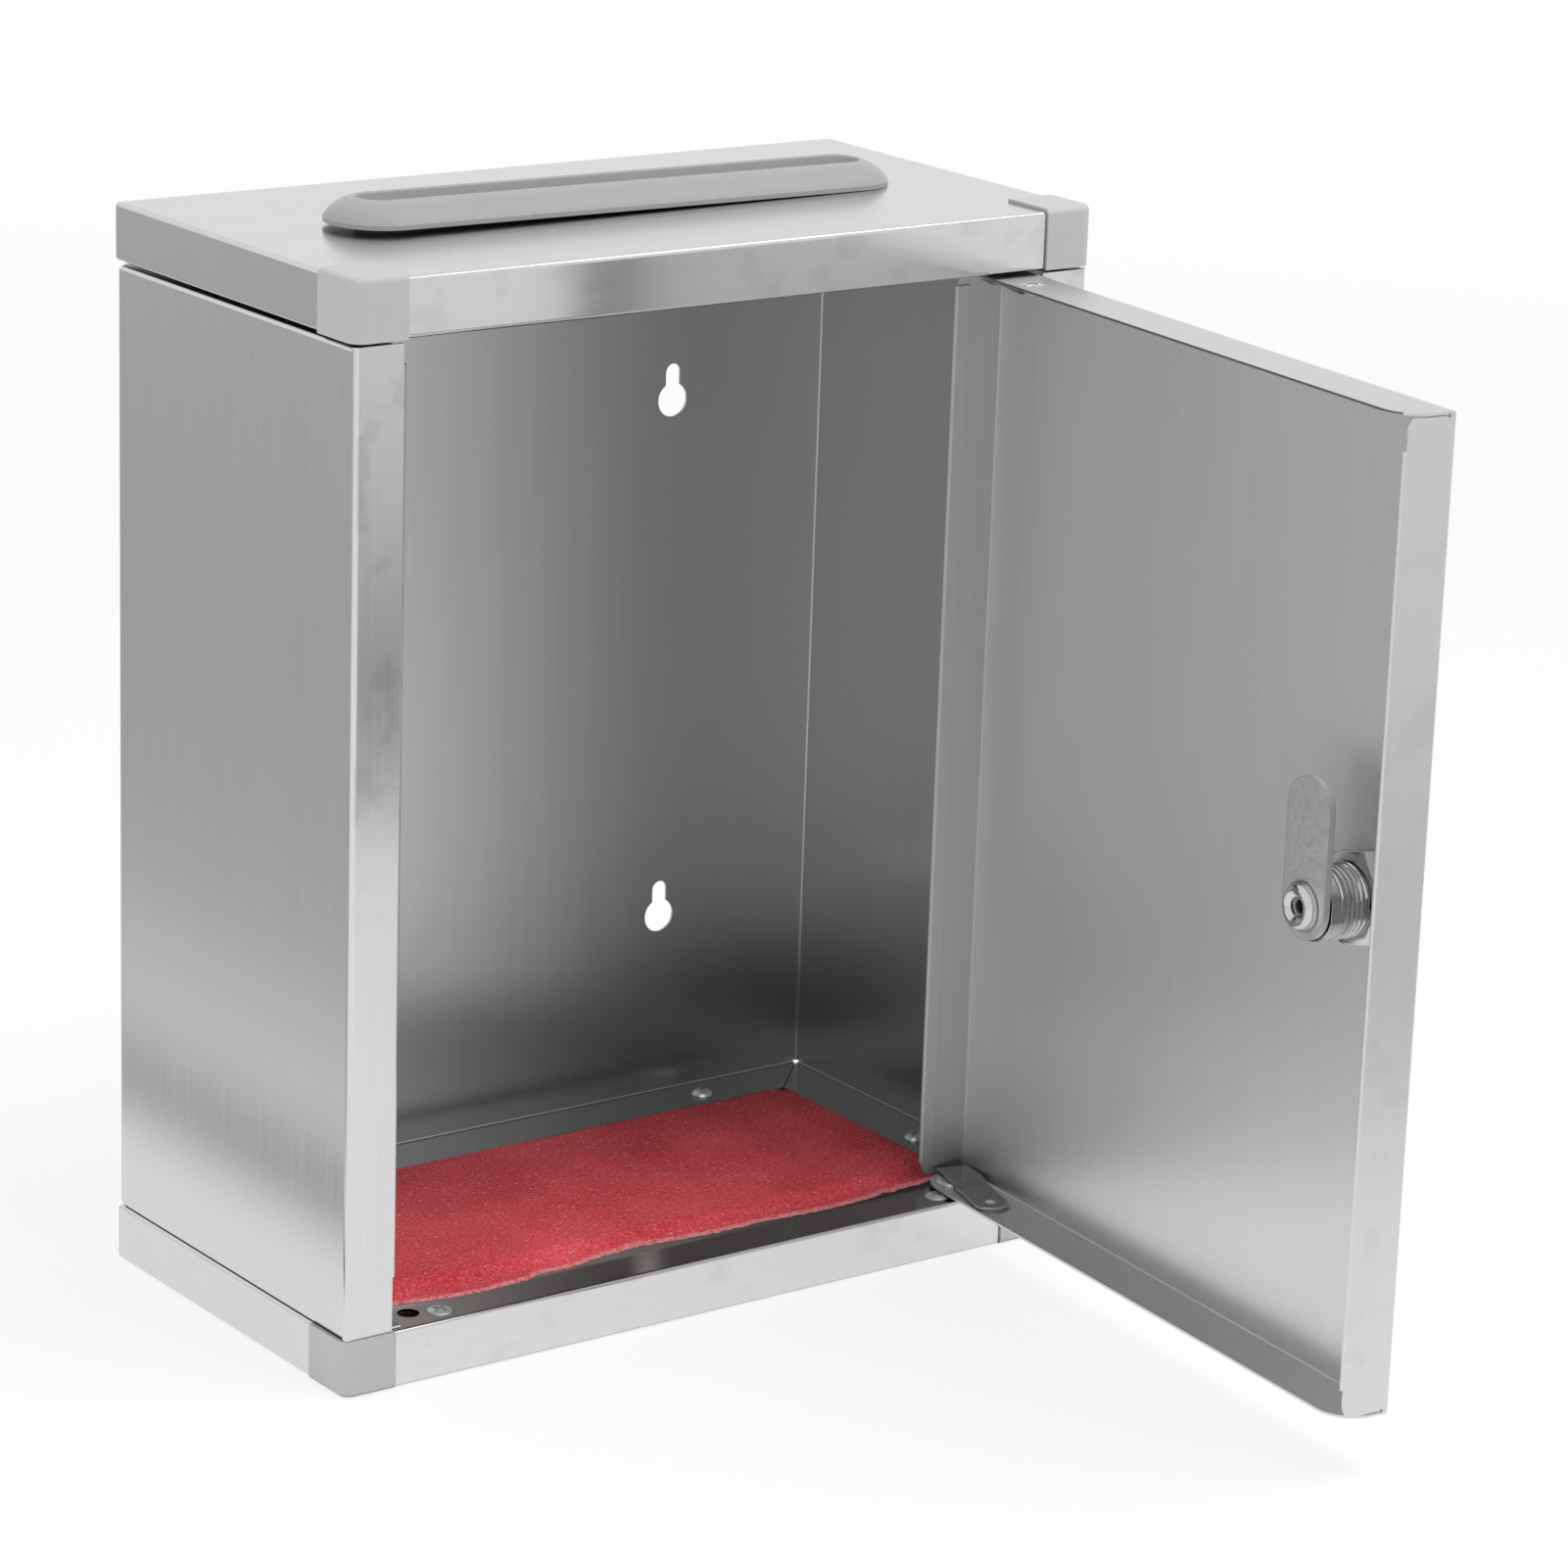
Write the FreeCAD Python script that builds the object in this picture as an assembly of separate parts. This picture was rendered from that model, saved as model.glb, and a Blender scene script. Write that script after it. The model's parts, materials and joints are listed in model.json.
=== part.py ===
import FreeCAD, Part
import math
import os

# Donation box of folded stainless sheet, in millimetres.
# The origin is the middle of the underside, +Z is up and the door is on the -Y side.
# Door and lock are drawn with the door shut, then swung open to the stored pose.

Vector = FreeCAD.Vector

# Case
case_width = 235.0
case_depth = 121.0
case_height = 300.0
sheet = 0.7
bend_radius = 1.2
seam_gap = 0.1
head_seam_gap = 0.9

# Top and base trays
tray_height = 16.0
tray_return = 25.0
mitre_gap = 0.3

# Body wrap: two sides, the back and the narrow front flanges
body_inset = 0.15
body_corner_radius = 1.6
front_flange = 15.55
body_flange = 18.0
corner_notch = 1.9
jamb_lip_depth = 17.2
jamb_lip_low_short = 15.5
jamb_lip_high_short = 5.5

# Keyholes for wall screws
keyhole_spacing_x = 128.0
keyhole_spacing_z = 156.0
keyhole_round = 10.0
keyhole_slot = 5.0
keyhole_rise = 8.1

# Moulded corner caps
cap_front = 15.3
cap_side = 17.1
cap_proud = 0.8
cap_corner_radius = 4.0
cap_edge_radius = 1.6
cap_gap = 0.15
tongue_length = 33.0
tongue_width = 13.0
tongue_play = 0.2
core_wall = 2.0
core_depth = 3.0

# Slot bezel
bezel_length = 178.0
bezel_width = 29.0
bezel_rise = 6.6
bezel_lip = 1.2
bezel_bulge = 1.05
bezel_crest_gap = 13.0
bezel_crest_run = 0.45
bezel_crest_drop = 0.45
bezel_throat = 8.6
bezel_skirt_wall = 2.0
bezel_skirt_depth = 8.0
bezel_play = 0.5
bezel_offset_x = 1.5
bezel_offset_y = 1.0
bezel_lift = 1.4
barb_length = 12.0
barb_depth = 0.9
barb_height = 3.0
barb_spread = 100.0

# Foam mat
mat_thickness = 3.2
mat_play = 0.6
mat_front_cut = 1.8
mat_step_at = 58.0
mat_step_run = 22.0
mat_corner_radius = 8.0

# Screws
screw_shank = 3.0
screw_length = 9.0
screw_play = 0.1
pan_head = 6.4
pan_head_height = 1.9
pan_head_bevel = 1.2
flat_head = 7.0
flat_head_depth = 2.0
flat_head_crown = 0.5
flat_head_bevel = 1.4
front_screw_inset = 33.5
front_screw_depth = 6.6
back_screw_spread = 149.0
flange_screw_inset = 11.2
side_screw_depth = 46.5

# Door pan
door_side_gap = 0.9
door_swing_gap = 0.6
door_end_gap = 1.0
door_depth = 16.0
door_tip_radius = 5.0
door_ledge_radius = 10.0
door_slit = 0.3
door_slit_start = 2.6
door_relief = 1.0
free_hem = 3.6
hinge_hem = 4.4
free_hem_short = 9.0
hinge_hem_short = 5.2
hem_proud = 0.8
door_open_angle = 85.6

# Hinge plates, pins and rivets
pivot_inset = 25.5
pivot_depth = 9.5
pin_diameter = 6.0
pin_play = 0.05
pin_head = 10.0
pin_head_height = 1.0
pin_head_bevel = 0.4
pin_engagement = 7.0
plate_thickness = 1.2
plate_end_radius = 5.0
plate_flange_gap = 1.0
plate_skin_gap = 0.95
plate_heel_slant = 2.2
plate_near = 1.2
plate_shoulder = 1.0
plate_step_gap = 0.4
plate_step_run = 1.6
rivet_reach = 20.8
rivet_offset = 1.0
rivet_diameter = 3.0
rivet_head = 5.6
rivet_head_height = 1.4
rivet_head_bevel = 0.9
rivet_tail_height = 0.5

# Cam lock
lock_from_edge = 24.0
lock_height = 151.0
barrel_diameter = 19.0
barrel_across_flats = 18.2
barrel_length = 17.6
barrel_play = 0.1
lock_head = 23.0
lock_head_height = 3.2
lock_head_bevel = 1.6
plug_diameter = 12.5
plug_head = 15.0
plug_head_depth = 2.0
plug_recess = 0.6
plug_play = 0.05
nut_across_flats = 24.0
nut_thickness = 4.6
nut_bevel = 0.4
cam_width = 17.6
cam_reach = 34.4
cam_thickness = 2.0
cam_gap = 0.4
square_stub = 8.0
square_play = 0.08
cam_screw_collar = 13.0
cam_screw_rim = 0.9
cam_screw_head = 12.2
cam_screw_height = 2.8
cam_screw_crest = 8.6
cam_screw_bulge = 0.4
cam_screw_dish = 0.9
cam_screw_shank = 5.0
cam_screw_length = 9.0
cam_screw_recess = 5.2
cam_screw_recess_depth = 1.2
keyway_width = 2.0
keyway_height = 7.6
wafer_count = 5
wafer_thickness = 1.0
wafer_width = 6.3
wafer_height = 10.4
wafer_pitch = 2.0
wafer_first = 1.2
wafer_play = 0.1

# Planes and edges that several pieces share
left = -case_width / 2
right = case_width / 2
front = -case_depth / 2
back = case_depth / 2
base_top = tray_height
head_low = case_height - tray_height
middle_height = case_height / 2
body_left = left + body_inset
body_right = right - body_inset
body_front = front + body_inset
body_back = back - body_inset
body_low = base_top + seam_gap
body_high = head_low - head_seam_gap
mouth_left = body_left + front_flange
mouth_right = body_right - front_flange
flange_top = body_low + sheet
door_left = mouth_left + door_side_gap
door_right = mouth_right - door_side_gap
door_low = base_top + door_end_gap
door_high = head_low - door_end_gap
door_front = body_front
door_tip = door_front + door_depth
pivot_x = right - pivot_inset
pivot_y = front + pivot_depth
tip_swing = math.hypot(door_right - pivot_x, door_tip - pivot_y) + door_swing_gap
skin_swing = math.hypot(door_right - pivot_x, door_front - pivot_y) + door_swing_gap
rivet_x = pivot_x - rivet_reach
rivet_y = pivot_y + rivet_offset
lock_x = door_left + lock_from_edge
bend_inside = bend_radius - sheet
flange_screw_y = back - flange_screw_inset + body_inset

# Stock beyond a finished edge, and the reach of a cutter past what it cuts
spare_stock = 15.0
overcut = 1.0


def block(x0, x1, y0, y1, z0, z1):
    return Part.makeBox(x1 - x0, y1 - y0, z1 - z0, Vector(x0, y0, z0))


def upright(radius, x, y, z0, z1):
    return Part.makeCylinder(radius, z1 - z0, Vector(x, y, z0))


def along_y(radius, x, z, y0, y1):
    return Part.makeCylinder(radius, y1 - y0, Vector(x, y0, z), Vector(0, 1, 0))


def edges_where(shape, test):
    return [edge for edge in shape.Edges if test(edge.CenterOfMass)]


def rounded_block(x0, x1, y0, y1, z0, z1, upright_radius, level_radius):
    solid = block(x0, x1, y0, y1, z0, z1)
    inner_low = z0 + (z1 - z0) / 4
    inner_high = z1 - (z1 - z0) / 4
    uprights = edges_where(solid, lambda p: inner_low < p.z < inner_high)
    solid = solid.makeFillet(upright_radius, uprights)
    if level_radius:
        level = edges_where(solid, lambda p: not inner_low < p.z < inner_high)
        solid = solid.makeFillet(level_radius, level)
    return solid


def level_bends(solid, radius):
    # Rounds the edges round the top and the bottom, and leaves the upright ones
    middle = solid.CenterOfMass.z
    return solid.makeFillet(radius, edges_where(solid, lambda p: abs(p.z - middle) > radius))


def front_bends(solid, radius):
    # Rounds the edges round the front face only
    ahead = solid.BoundBox.YMin + radius
    return solid.makeFillet(radius, edges_where(solid, lambda p: p.y < ahead))


def flat_face(points):
    return Part.Face(Part.makePolygon([Vector(*point) for point in points + points[:1]]))


def arc(start, middle, end):
    return Part.Arc(Vector(*start), Vector(*middle), Vector(*end)).toShape()


def line(start, end):
    return Part.makeLine(Vector(*start), Vector(*end))


def joined(shapes):
    whole = shapes[0].fuse(shapes[1:])
    return whole.removeSplitter()


def mirrored_x(shape):
    return shape.mirror(Vector(0, 0, 0), Vector(1, 0, 0))


def mirrored_z(shape):
    return shape.mirror(Vector(0, 0, middle_height), Vector(0, 0, 1))


def at_head(shape):
    # The same feature at the top of the body, which stops a little short of the top tray
    upper = mirrored_z(shape)
    upper.translate(Vector(0, 0, seam_gap - head_seam_gap))
    return upper


def mitre_cuts(corner_x, corner_y, z0, z1, reach):
    # A thin diagonal slit through a flange, from a back corner towards the middle
    cuts = []
    for side in (-1, 1):
        slit = block(0, reach, -mitre_gap / 2, mitre_gap / 2, z0, z1)
        angle = 225 if side > 0 else 315
        slit.rotate(Vector(0, 0, 0), Vector(0, 0, 1), angle)
        slit.translate(Vector(side * corner_x, corner_y, 0))
        cuts.append(slit)
    return cuts


def pivot_holes(z0, z1, radius):
    return [upright(radius, side * pivot_x, pivot_y, z0, z1) for side in (-1, 1)]


def bevelled_head(radius, height, bevel):
    # Round head on z = 0, its upper edge taken off at 45 degrees
    rim = upright(radius, 0, 0, 0, height - bevel)
    crown = Part.makeCone(radius, radius - bevel, bevel, Vector(0, 0, height - bevel))
    return joined([rim, crown])


def countersunk_screw(play):
    # Raised flat-headed screw, its rim at z = 0 and its shank pointing down
    head_radius = flat_head / 2 + play
    shank_radius = screw_shank / 2 + play
    head = Part.makeCone(shank_radius, head_radius, flat_head_depth, Vector(0, 0, -flat_head_depth))
    crown = Part.makeCone(head_radius, head_radius - flat_head_bevel, flat_head_crown)
    shank = upright(shank_radius, 0, 0, -screw_length - play, -flat_head_depth)
    return joined([head, crown, shank])


def pan_screw(play):
    # Pan-headed screw, its seat at z = 0 and its shank pointing down
    shank = upright(screw_shank / 2 + play, 0, 0, -screw_length - play, 0)
    return joined([shank, bevelled_head(pan_head / 2 + play, pan_head_height, pan_head_bevel)])


def placed(make, play, spots):
    solids = []
    for x, y, z in spots:
        solid = make(play)
        solid.translate(Vector(x, y, z))
        solids.append(solid)
    return solids


def front_screw_spots():
    y = front + front_screw_depth
    return [(side * (right - front_screw_inset), y, base_top) for side in (-1, 1)]


def flange_screw_spots():
    sides = [(side * (right - flange_screw_inset), front + side_screw_depth, flange_top) for side in (-1, 1)]
    backs = [(side * back_screw_spread / 2, flange_screw_y, flange_top) for side in (-1, 1)]
    return sides + backs


def screw_cutters():
    return placed(countersunk_screw, screw_play, front_screw_spots()) + \
        placed(pan_screw, screw_play, flange_screw_spots())


def tray():
    # A pan folded up from one sheet, with its edges turned in again at the top and its corners butted
    outer = block(left, right, front, back, 0, tray_height)
    inner = block(left + sheet, right - sheet, front + sheet, back - sheet, sheet, tray_height - sheet)
    pan = level_bends(outer, bend_radius).cut(level_bends(inner, bend_inside))
    window = block(left + tray_return, right - tray_return, front + tray_return, back - tray_return,
                   tray_height - sheet - overcut, tray_height + overcut)
    notch_x = left + cap_front + cap_gap
    notch_y = front + cap_side + cap_gap
    notch = block(left - overcut, notch_x, front - overcut, notch_y, -overcut, tray_height + overcut)
    slits = mitre_cuts(right - bend_radius, back - bend_radius, tray_height - sheet - overcut,
                       tray_height + overcut, 2 * tray_return)
    holes = pivot_holes(tray_height - sheet - overcut, tray_height + overcut, pin_diameter / 2 + pin_play)
    pan = pan.cut([window, notch, mirrored_x(notch)] + slits + holes)
    return pan.cut(screw_cutters())


def top_tray():
    plate = mirrored_z(tray())
    half_run = bezel_length / 2 - bezel_width / 2
    half_gap = bezel_throat / 2 + bezel_skirt_wall + bezel_play
    return plate.cut(stadium(half_run, half_gap, case_height - tray_height / 2, case_height + overcut))


def stadium(half_run, half_width, z0, z1):
    solid = block(-half_run, half_run, -half_width, half_width, z0, z1)
    ends = [upright(half_width, side * half_run, 0, z0, z1) for side in (-1, 1)]
    oval = joined([solid] + ends)
    oval.translate(Vector(bezel_offset_x, bezel_offset_y, 0))
    return oval


def body_shell():
    bend_line = body_front + body_corner_radius
    ahead = front - spare_stock
    outer = rounded_block(body_left, body_right, ahead, body_back, body_low, body_high,
                          body_corner_radius, bend_radius)
    inner = rounded_block(body_left + sheet, body_right - sheet, ahead + sheet, body_back - sheet,
                          body_low + sheet, body_high - sheet, body_corner_radius - sheet, bend_inside)
    walls = outer.cut(inner)
    window = block(body_left + body_flange, body_right - body_flange, ahead - overcut, body_back - body_flange,
                   body_low - overcut, body_high + overcut)
    walls = walls.cut([window, block(left, right, ahead - overcut, bend_line, body_low - overcut,
                                     body_high + overcut)])
    slits = mitre_cuts(body_right - sheet, body_back - sheet, body_low - overcut, body_low + sheet + overcut,
                       2 * body_flange)
    # The folds stop short of the back corners, where a small notch is left open
    notch = block(body_right - corner_notch, right, body_back - corner_notch, back, body_low - overcut,
                  body_low + bend_radius)
    corner_cuts = slits + [notch, mirrored_x(notch)]
    corner_cuts += [at_head(cut) for cut in corner_cuts]
    # The upper flanges are cut back in front, where the door's hinge edge swings past them
    clear_x = pivot_x + skin_swing
    swing_cut = block(-clear_x, clear_x, ahead - overcut, pivot_y + skin_swing, body_high - sheet - overcut,
                      body_high + overcut)
    walls = walls.cut(corner_cuts + [swing_cut])
    ring = rounded_block(body_left, body_right, body_front, body_back, body_low, body_high,
                         body_corner_radius, 0)
    ring = ring.cut(rounded_block(body_left + sheet, body_right - sheet, body_front + sheet, body_back - sheet,
                                  body_low - overcut, body_high + overcut, body_corner_radius - sheet, 0))
    mouth = block(mouth_left, mouth_right, front - overcut, bend_line, body_low - overcut, body_high + overcut)
    behind = block(left, right, bend_line, back + overcut, body_low - overcut, body_high + overcut)
    flanges = ring.cut([mouth, behind])
    # The lock side's flange is plain at its ends and turned back in between
    flanges = flanges.cut(block(mouth_left - bend_radius, mouth_left + overcut, front - overcut, bend_line,
                                body_low - overcut, body_high + overcut))
    lip = jamb_lip(body_low + jamb_lip_low_short, body_high - jamb_lip_high_short)
    shell = joined([walls, flanges, lip])
    holes = [keyhole(side * keyhole_spacing_x / 2, middle_height + level * keyhole_spacing_z / 2)
             for side in (-1, 1) for level in (-1, 1)]
    cutters = placed(pan_screw, screw_play, flange_screw_spots())
    return shell.cut(holes + cutters + [at_head(cutter) for cutter in cutters])


def jamb_lip(z0, z1):
    # The lock side's flange turns back into the case, where the cam catches it
    edge = mouth_left
    turn = 1 - math.sqrt(0.5)
    end = body_front + jamb_lip_depth
    profile = [
        line((edge - bend_radius, body_front + sheet, z0), (edge - bend_radius, body_front, z0)),
        arc((edge - bend_radius, body_front, z0),
            (edge - bend_radius * turn, body_front + bend_radius * turn, z0),
            (edge, body_front + bend_radius, z0)),
        line((edge, body_front + bend_radius, z0), (edge, end, z0)),
        line((edge, end, z0), (edge - sheet, end, z0)),
        line((edge - sheet, end, z0), (edge - sheet, body_front + bend_radius, z0)),
        arc((edge - sheet, body_front + bend_radius, z0),
            (edge - sheet - bend_inside * turn, body_front + sheet + bend_inside * turn, z0),
            (edge - bend_radius, body_front + sheet, z0)),
    ]
    return Part.Face(Part.Wire(profile)).extrude(Vector(0, 0, z1 - z0))


def keyhole(x, z):
    y0 = body_back - sheet - overcut
    y1 = body_back + overcut
    round_hole = along_y(keyhole_round / 2, x, z, y0, y1)
    slot_end = along_y(keyhole_slot / 2, x, z + keyhole_rise, y0, y1)
    slot = block(x - keyhole_slot / 2, x + keyhole_slot / 2, y0, y1, z, z + keyhole_rise)
    return joined([round_hole, slot_end, slot])


def tongue(x0, x1, y0, y1, z0, z1):
    # Bar with its long edges rounded to sit in the tray's folds
    bar = block(x0, x1, y0, y1, z0, z1)
    if x1 - x0 > y1 - y0:
        long_edges = edges_where(bar, lambda p: abs(p.x - (x0 + x1) / 2) < overcut / 2)
    else:
        long_edges = edges_where(bar, lambda p: abs(p.y - (y0 + y1) / 2) < overcut / 2)
    return bar.makeFillet(bend_inside, long_edges)


def corner_cap(end_proud):
    # Left base corner: an outer block with one tongue along each tray channel
    x0 = left - cap_proud
    y0 = front - cap_proud
    x1 = left + cap_front
    y1 = front + cap_side
    shell = block(x0, x1, y0, y1, -end_proud, tray_height)
    shell = shell.makeFillet(cap_corner_radius,
                             edges_where(shell, lambda p: p.x < x0 + overcut / 2 and p.y < y0 + overcut / 2))
    x_rim = x1 - overcut
    y_rim = y1 - overcut
    z_rim = overcut / 2 - end_proud
    rim = edges_where(shell, lambda p: p.x < x_rim and p.y < y_rim and p.z < z_rim)
    shell = shell.makeFillet(cap_edge_radius, rim)
    low = sheet + tongue_play
    high = tray_height - sheet - tongue_play
    tongue_y = front + sheet + tongue_play
    tongue_x = left + sheet + tongue_play
    along_front = tongue(x1 - overcut, x1 + tongue_length, tongue_y, tongue_y + tongue_width, low, high)
    along_side = tongue(tongue_x, tongue_x + tongue_width, y1 - overcut, y1 + tongue_length, low, high)
    cap = joined([shell, along_front, along_side])
    cores = [block(x1, x1 + tongue_length - core_wall, tongue_y + core_wall,
                   tongue_y + tongue_width - core_wall, low - overcut, low + core_depth),
             block(tongue_x + core_wall, tongue_x + tongue_width - core_wall, y1,
                   y1 + tongue_length - core_wall, low - overcut, low + core_depth)]
    pin_hole = upright(pin_diameter / 2 + pin_play, -pivot_x, pivot_y, low - overcut, high + overcut)
    return cap.cut(cores + [pin_hole] + screw_cutters())


def bezel_profile(side):
    # Half section across the slot: domed rim, sloping throat and the skirt that drops through the tray
    outer = bezel_width / 2
    crest = bezel_crest_gap / 2
    throat = bezel_throat / 2
    skirt = throat + bezel_skirt_wall
    slope = math.hypot(outer - crest, bezel_rise - bezel_lip)
    shoulder = ((outer + crest) / 2 + bezel_bulge * (bezel_rise - bezel_lip) / slope,
                (bezel_lip + bezel_rise) / 2 + bezel_bulge * (outer - crest) / slope)
    points = [(outer, 0), (outer, bezel_lip), shoulder, (crest, bezel_rise),
              (crest - bezel_crest_run, bezel_rise - bezel_crest_drop), (throat, -sheet),
              (throat, -bezel_skirt_depth), (skirt, -bezel_skirt_depth), (skirt, 0)]
    spots = [(0, side * y, z) for y, z in points]
    edges = [line(spots[0], spots[1]), arc(spots[1], spots[2], spots[3]), line(spots[3], spots[4])]
    edges += [line(spots[i], spots[i + 1]) for i in range(4, len(spots) - 1)]
    edges.append(line(spots[-1], spots[0]))
    return Part.Face(Part.Wire(edges))


def slot_bezel():
    half_run = bezel_length / 2 - bezel_width / 2
    pieces = []
    for side in (-1, 1):
        section = bezel_profile(side)
        section.translate(Vector(-half_run, 0, 0))
        pieces.append(section.extrude(Vector(2 * half_run, 0, 0)))
    for end in (-1, 1):
        section = bezel_profile(end)
        turned = section.revolve(Vector(0, 0, 0), Vector(0, 0, 1), -180)
        turned.translate(Vector(end * half_run, 0, 0))
        pieces.append(turned)
    skirt = bezel_throat / 2 + bezel_skirt_wall
    barb_top = -sheet - bezel_play - bezel_lift
    for side in (-1, 1):
        for x in (-barb_spread / 2, barb_spread / 2):
            wedge = flat_face([(x, side * skirt, barb_top), (x, side * (skirt + barb_depth), barb_top),
                               (x, side * skirt, barb_top - barb_height)])
            wedge = wedge.extrude(Vector(barb_length, 0, 0))
            wedge.translate(Vector(-barb_length / 2, 0, 0))
            pieces.append(wedge)
    ring = joined(pieces)
    # One end sits proud of the tray, as the moulding is only pressed home at the other
    tilt = math.degrees(math.atan2(bezel_lift, bezel_length))
    ring.rotate(Vector(bezel_length / 2, 0, 0), Vector(0, 1, 0), tilt)
    ring.translate(Vector(bezel_offset_x, bezel_offset_y, case_height))
    return ring


def foam_mat():
    # Hand-cut sheet, with one end of its front edge left longer
    side = right - body_inset - body_flange - mat_play
    rear = body_back - body_flange - mat_play
    step = door_tip + door_swing_gap
    main = step + mat_front_cut
    z0 = base_top
    step_x = -side + mat_step_at
    curve = Part.BSplineCurve()
    curve.interpolate([Vector(step_x, step, z0), Vector(step_x + mat_step_run / 2, (step + main) / 2, z0),
                       Vector(step_x + mat_step_run, main, z0)],
                      InitialTangent=Vector(1, 0, 0), FinalTangent=Vector(1, 0, 0))
    edges = [
        line((-side, rear, z0), (-side, step, z0)),
        line((-side, step, z0), (step_x, step, z0)),
        curve.toShape(),
        line((step_x + mat_step_run, main, z0), (side, main, z0)),
        line((side, main, z0), (side, rear, z0)),
        line((side, rear, z0), (-side, rear, z0)),
    ]
    slab = Part.Face(Part.Wire(edges)).extrude(Vector(0, 0, mat_thickness))
    half_up = z0 + mat_thickness / 2
    uprights = edges_where(slab, lambda p: abs(p.z - half_up) < mat_thickness / 8)
    corners = [edge for edge in uprights if abs(edge.CenterOfMass.x) > side - overcut]
    slab = slab.makeFillet(mat_corner_radius, corners)
    # Room for the door's hinge edge, which swings round over the mat's front corner
    return slab.cut(upright(tip_swing, pivot_x, pivot_y, z0 - overcut, z0 + mat_thickness + overcut))


def door_panel():
    deep = door_tip + spare_stock
    outer = block(door_left, door_right, door_front, door_tip, door_low, door_high)
    inner = block(door_left + sheet, door_right - sheet, door_front + sheet, deep, door_low + sheet,
                  door_high - sheet)
    pan = front_bends(outer, bend_radius).cut(front_bends(inner, bend_inside))
    pan = pan.cut(flange_tip_cuts() + corner_slits())
    free_low = door_low + free_hem_short
    free_high = door_high - free_hem_short
    hinge_low = door_low + hinge_hem_short
    hinge_high = door_high - hinge_hem_short
    pan = pan.cut([block(door_left - overcut, door_left + 2 * sheet, door_tip - sheet, door_tip + overcut,
                         free_low, free_high),
                   block(door_right - 2 * sheet, door_right + overcut, door_tip - sheet, door_tip + overcut,
                         hinge_low, hinge_high)])
    pan = joined([pan, hem(door_left, 1, free_hem, free_low, free_high),
                  hem(door_right, -1, hinge_hem, hinge_low, hinge_high)])
    pin_holes = upright(pin_diameter / 2 + pin_play, pivot_x, pivot_y, door_low - overcut, door_high + overcut)
    rivet_holes = upright(rivet_diameter / 2 + pin_play, rivet_x, rivet_y, door_low - overcut,
                          door_high + overcut)
    lock_hole = lock_barrel(barrel_play, -overcut, door_depth / 2)
    return pan.cut([pin_holes, rivet_holes, lock_hole])


def door_corners():
    # Each corner of the door, its direction inwards along X and along Z, and where the hem begins
    sides = ((door_left, 1, free_hem_short), (door_right, -1, hinge_hem_short))
    return [(x, inward, z, up, short) for x, inward, short in sides
            for z, up in ((door_low, 1), (door_high, -1))]


def flange_tip_cuts():
    # The flanges' outer corners are rounded off: the upright ones a little, the level ones more.
    # Past its hem an upright flange is a little lower than the fold.
    cuts = []
    tip = door_tip_radius
    ledge = door_ledge_radius
    edge = door_tip - hem_proud
    for x, inward, z, up, short in door_corners():
        x_span = sorted((x - inward * overcut, x + inward * bend_radius))
        z_span = sorted((z - up * overcut, z + up * sheet))
        corner = block(*x_span, edge - tip, door_tip + overcut, *sorted((z + up * sheet, z + up * tip)))
        keep = Part.makeCylinder(tip, x_span[1] - x_span[0], Vector(x_span[0], edge - tip, z + up * tip),
                                 Vector(1, 0, 0))
        cuts.append(corner.cut(keep))
        cuts.append(block(*x_span, edge, door_tip + overcut, *sorted((z + up * tip, z + up * short))))
        ledge_span = sorted((x - inward * overcut, x + inward * ledge))
        corner = block(*ledge_span, door_tip - ledge, door_tip + overcut, *z_span)
        cuts.append(corner.cut(upright(ledge, x + inward * ledge, door_tip - ledge, *z_span)))
    return cuts


def corner_slits():
    # A slit parts each level flange from the upright one, and ends in a small hole by the skin
    cuts = []
    for x, inward, z, up, short in door_corners():
        x_span = sorted((x - inward * overcut, x + inward * (sheet + bend_inside)))
        z_slit = z + up * (sheet + door_slit)
        start = door_front + door_slit_start
        cuts.append(block(*x_span, start, door_tip + overcut, *sorted((z + up * sheet, z_slit))))
        cuts.append(Part.makeCylinder(door_relief / 2, x_span[1] - x_span[0], Vector(x_span[0], start, z_slit),
                                      Vector(1, 0, 0)))
    return cuts


def hem(x, inward, width, z0, z1):
    # The flange's edge folded flat on its inner face
    x_in = x + inward * 2 * sheet
    profile = [
        line((x, door_tip - width, z0), (x_in, door_tip - width, z0)),
        line((x_in, door_tip - width, z0), (x_in, door_tip - sheet, z0)),
        arc((x_in, door_tip - sheet, z0), (x + inward * sheet, door_tip, z0), (x, door_tip - sheet, z0)),
        line((x, door_tip - sheet, z0), (x, door_tip - width, z0)),
    ]
    return Part.Face(Part.Wire(profile)).extrude(Vector(0, 0, z1 - z0))


def end_touch(x, y, side):
    # Where a straight edge from a corner of the plate meets its round end
    reach = math.hypot(x - rivet_x, y - rivet_y)
    angle = math.atan2(y - rivet_y, x - rivet_x) + side * math.acos(plate_end_radius / reach)
    return (rivet_x + plate_end_radius * math.cos(angle), rivet_y + plate_end_radius * math.sin(angle), 0)


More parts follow.
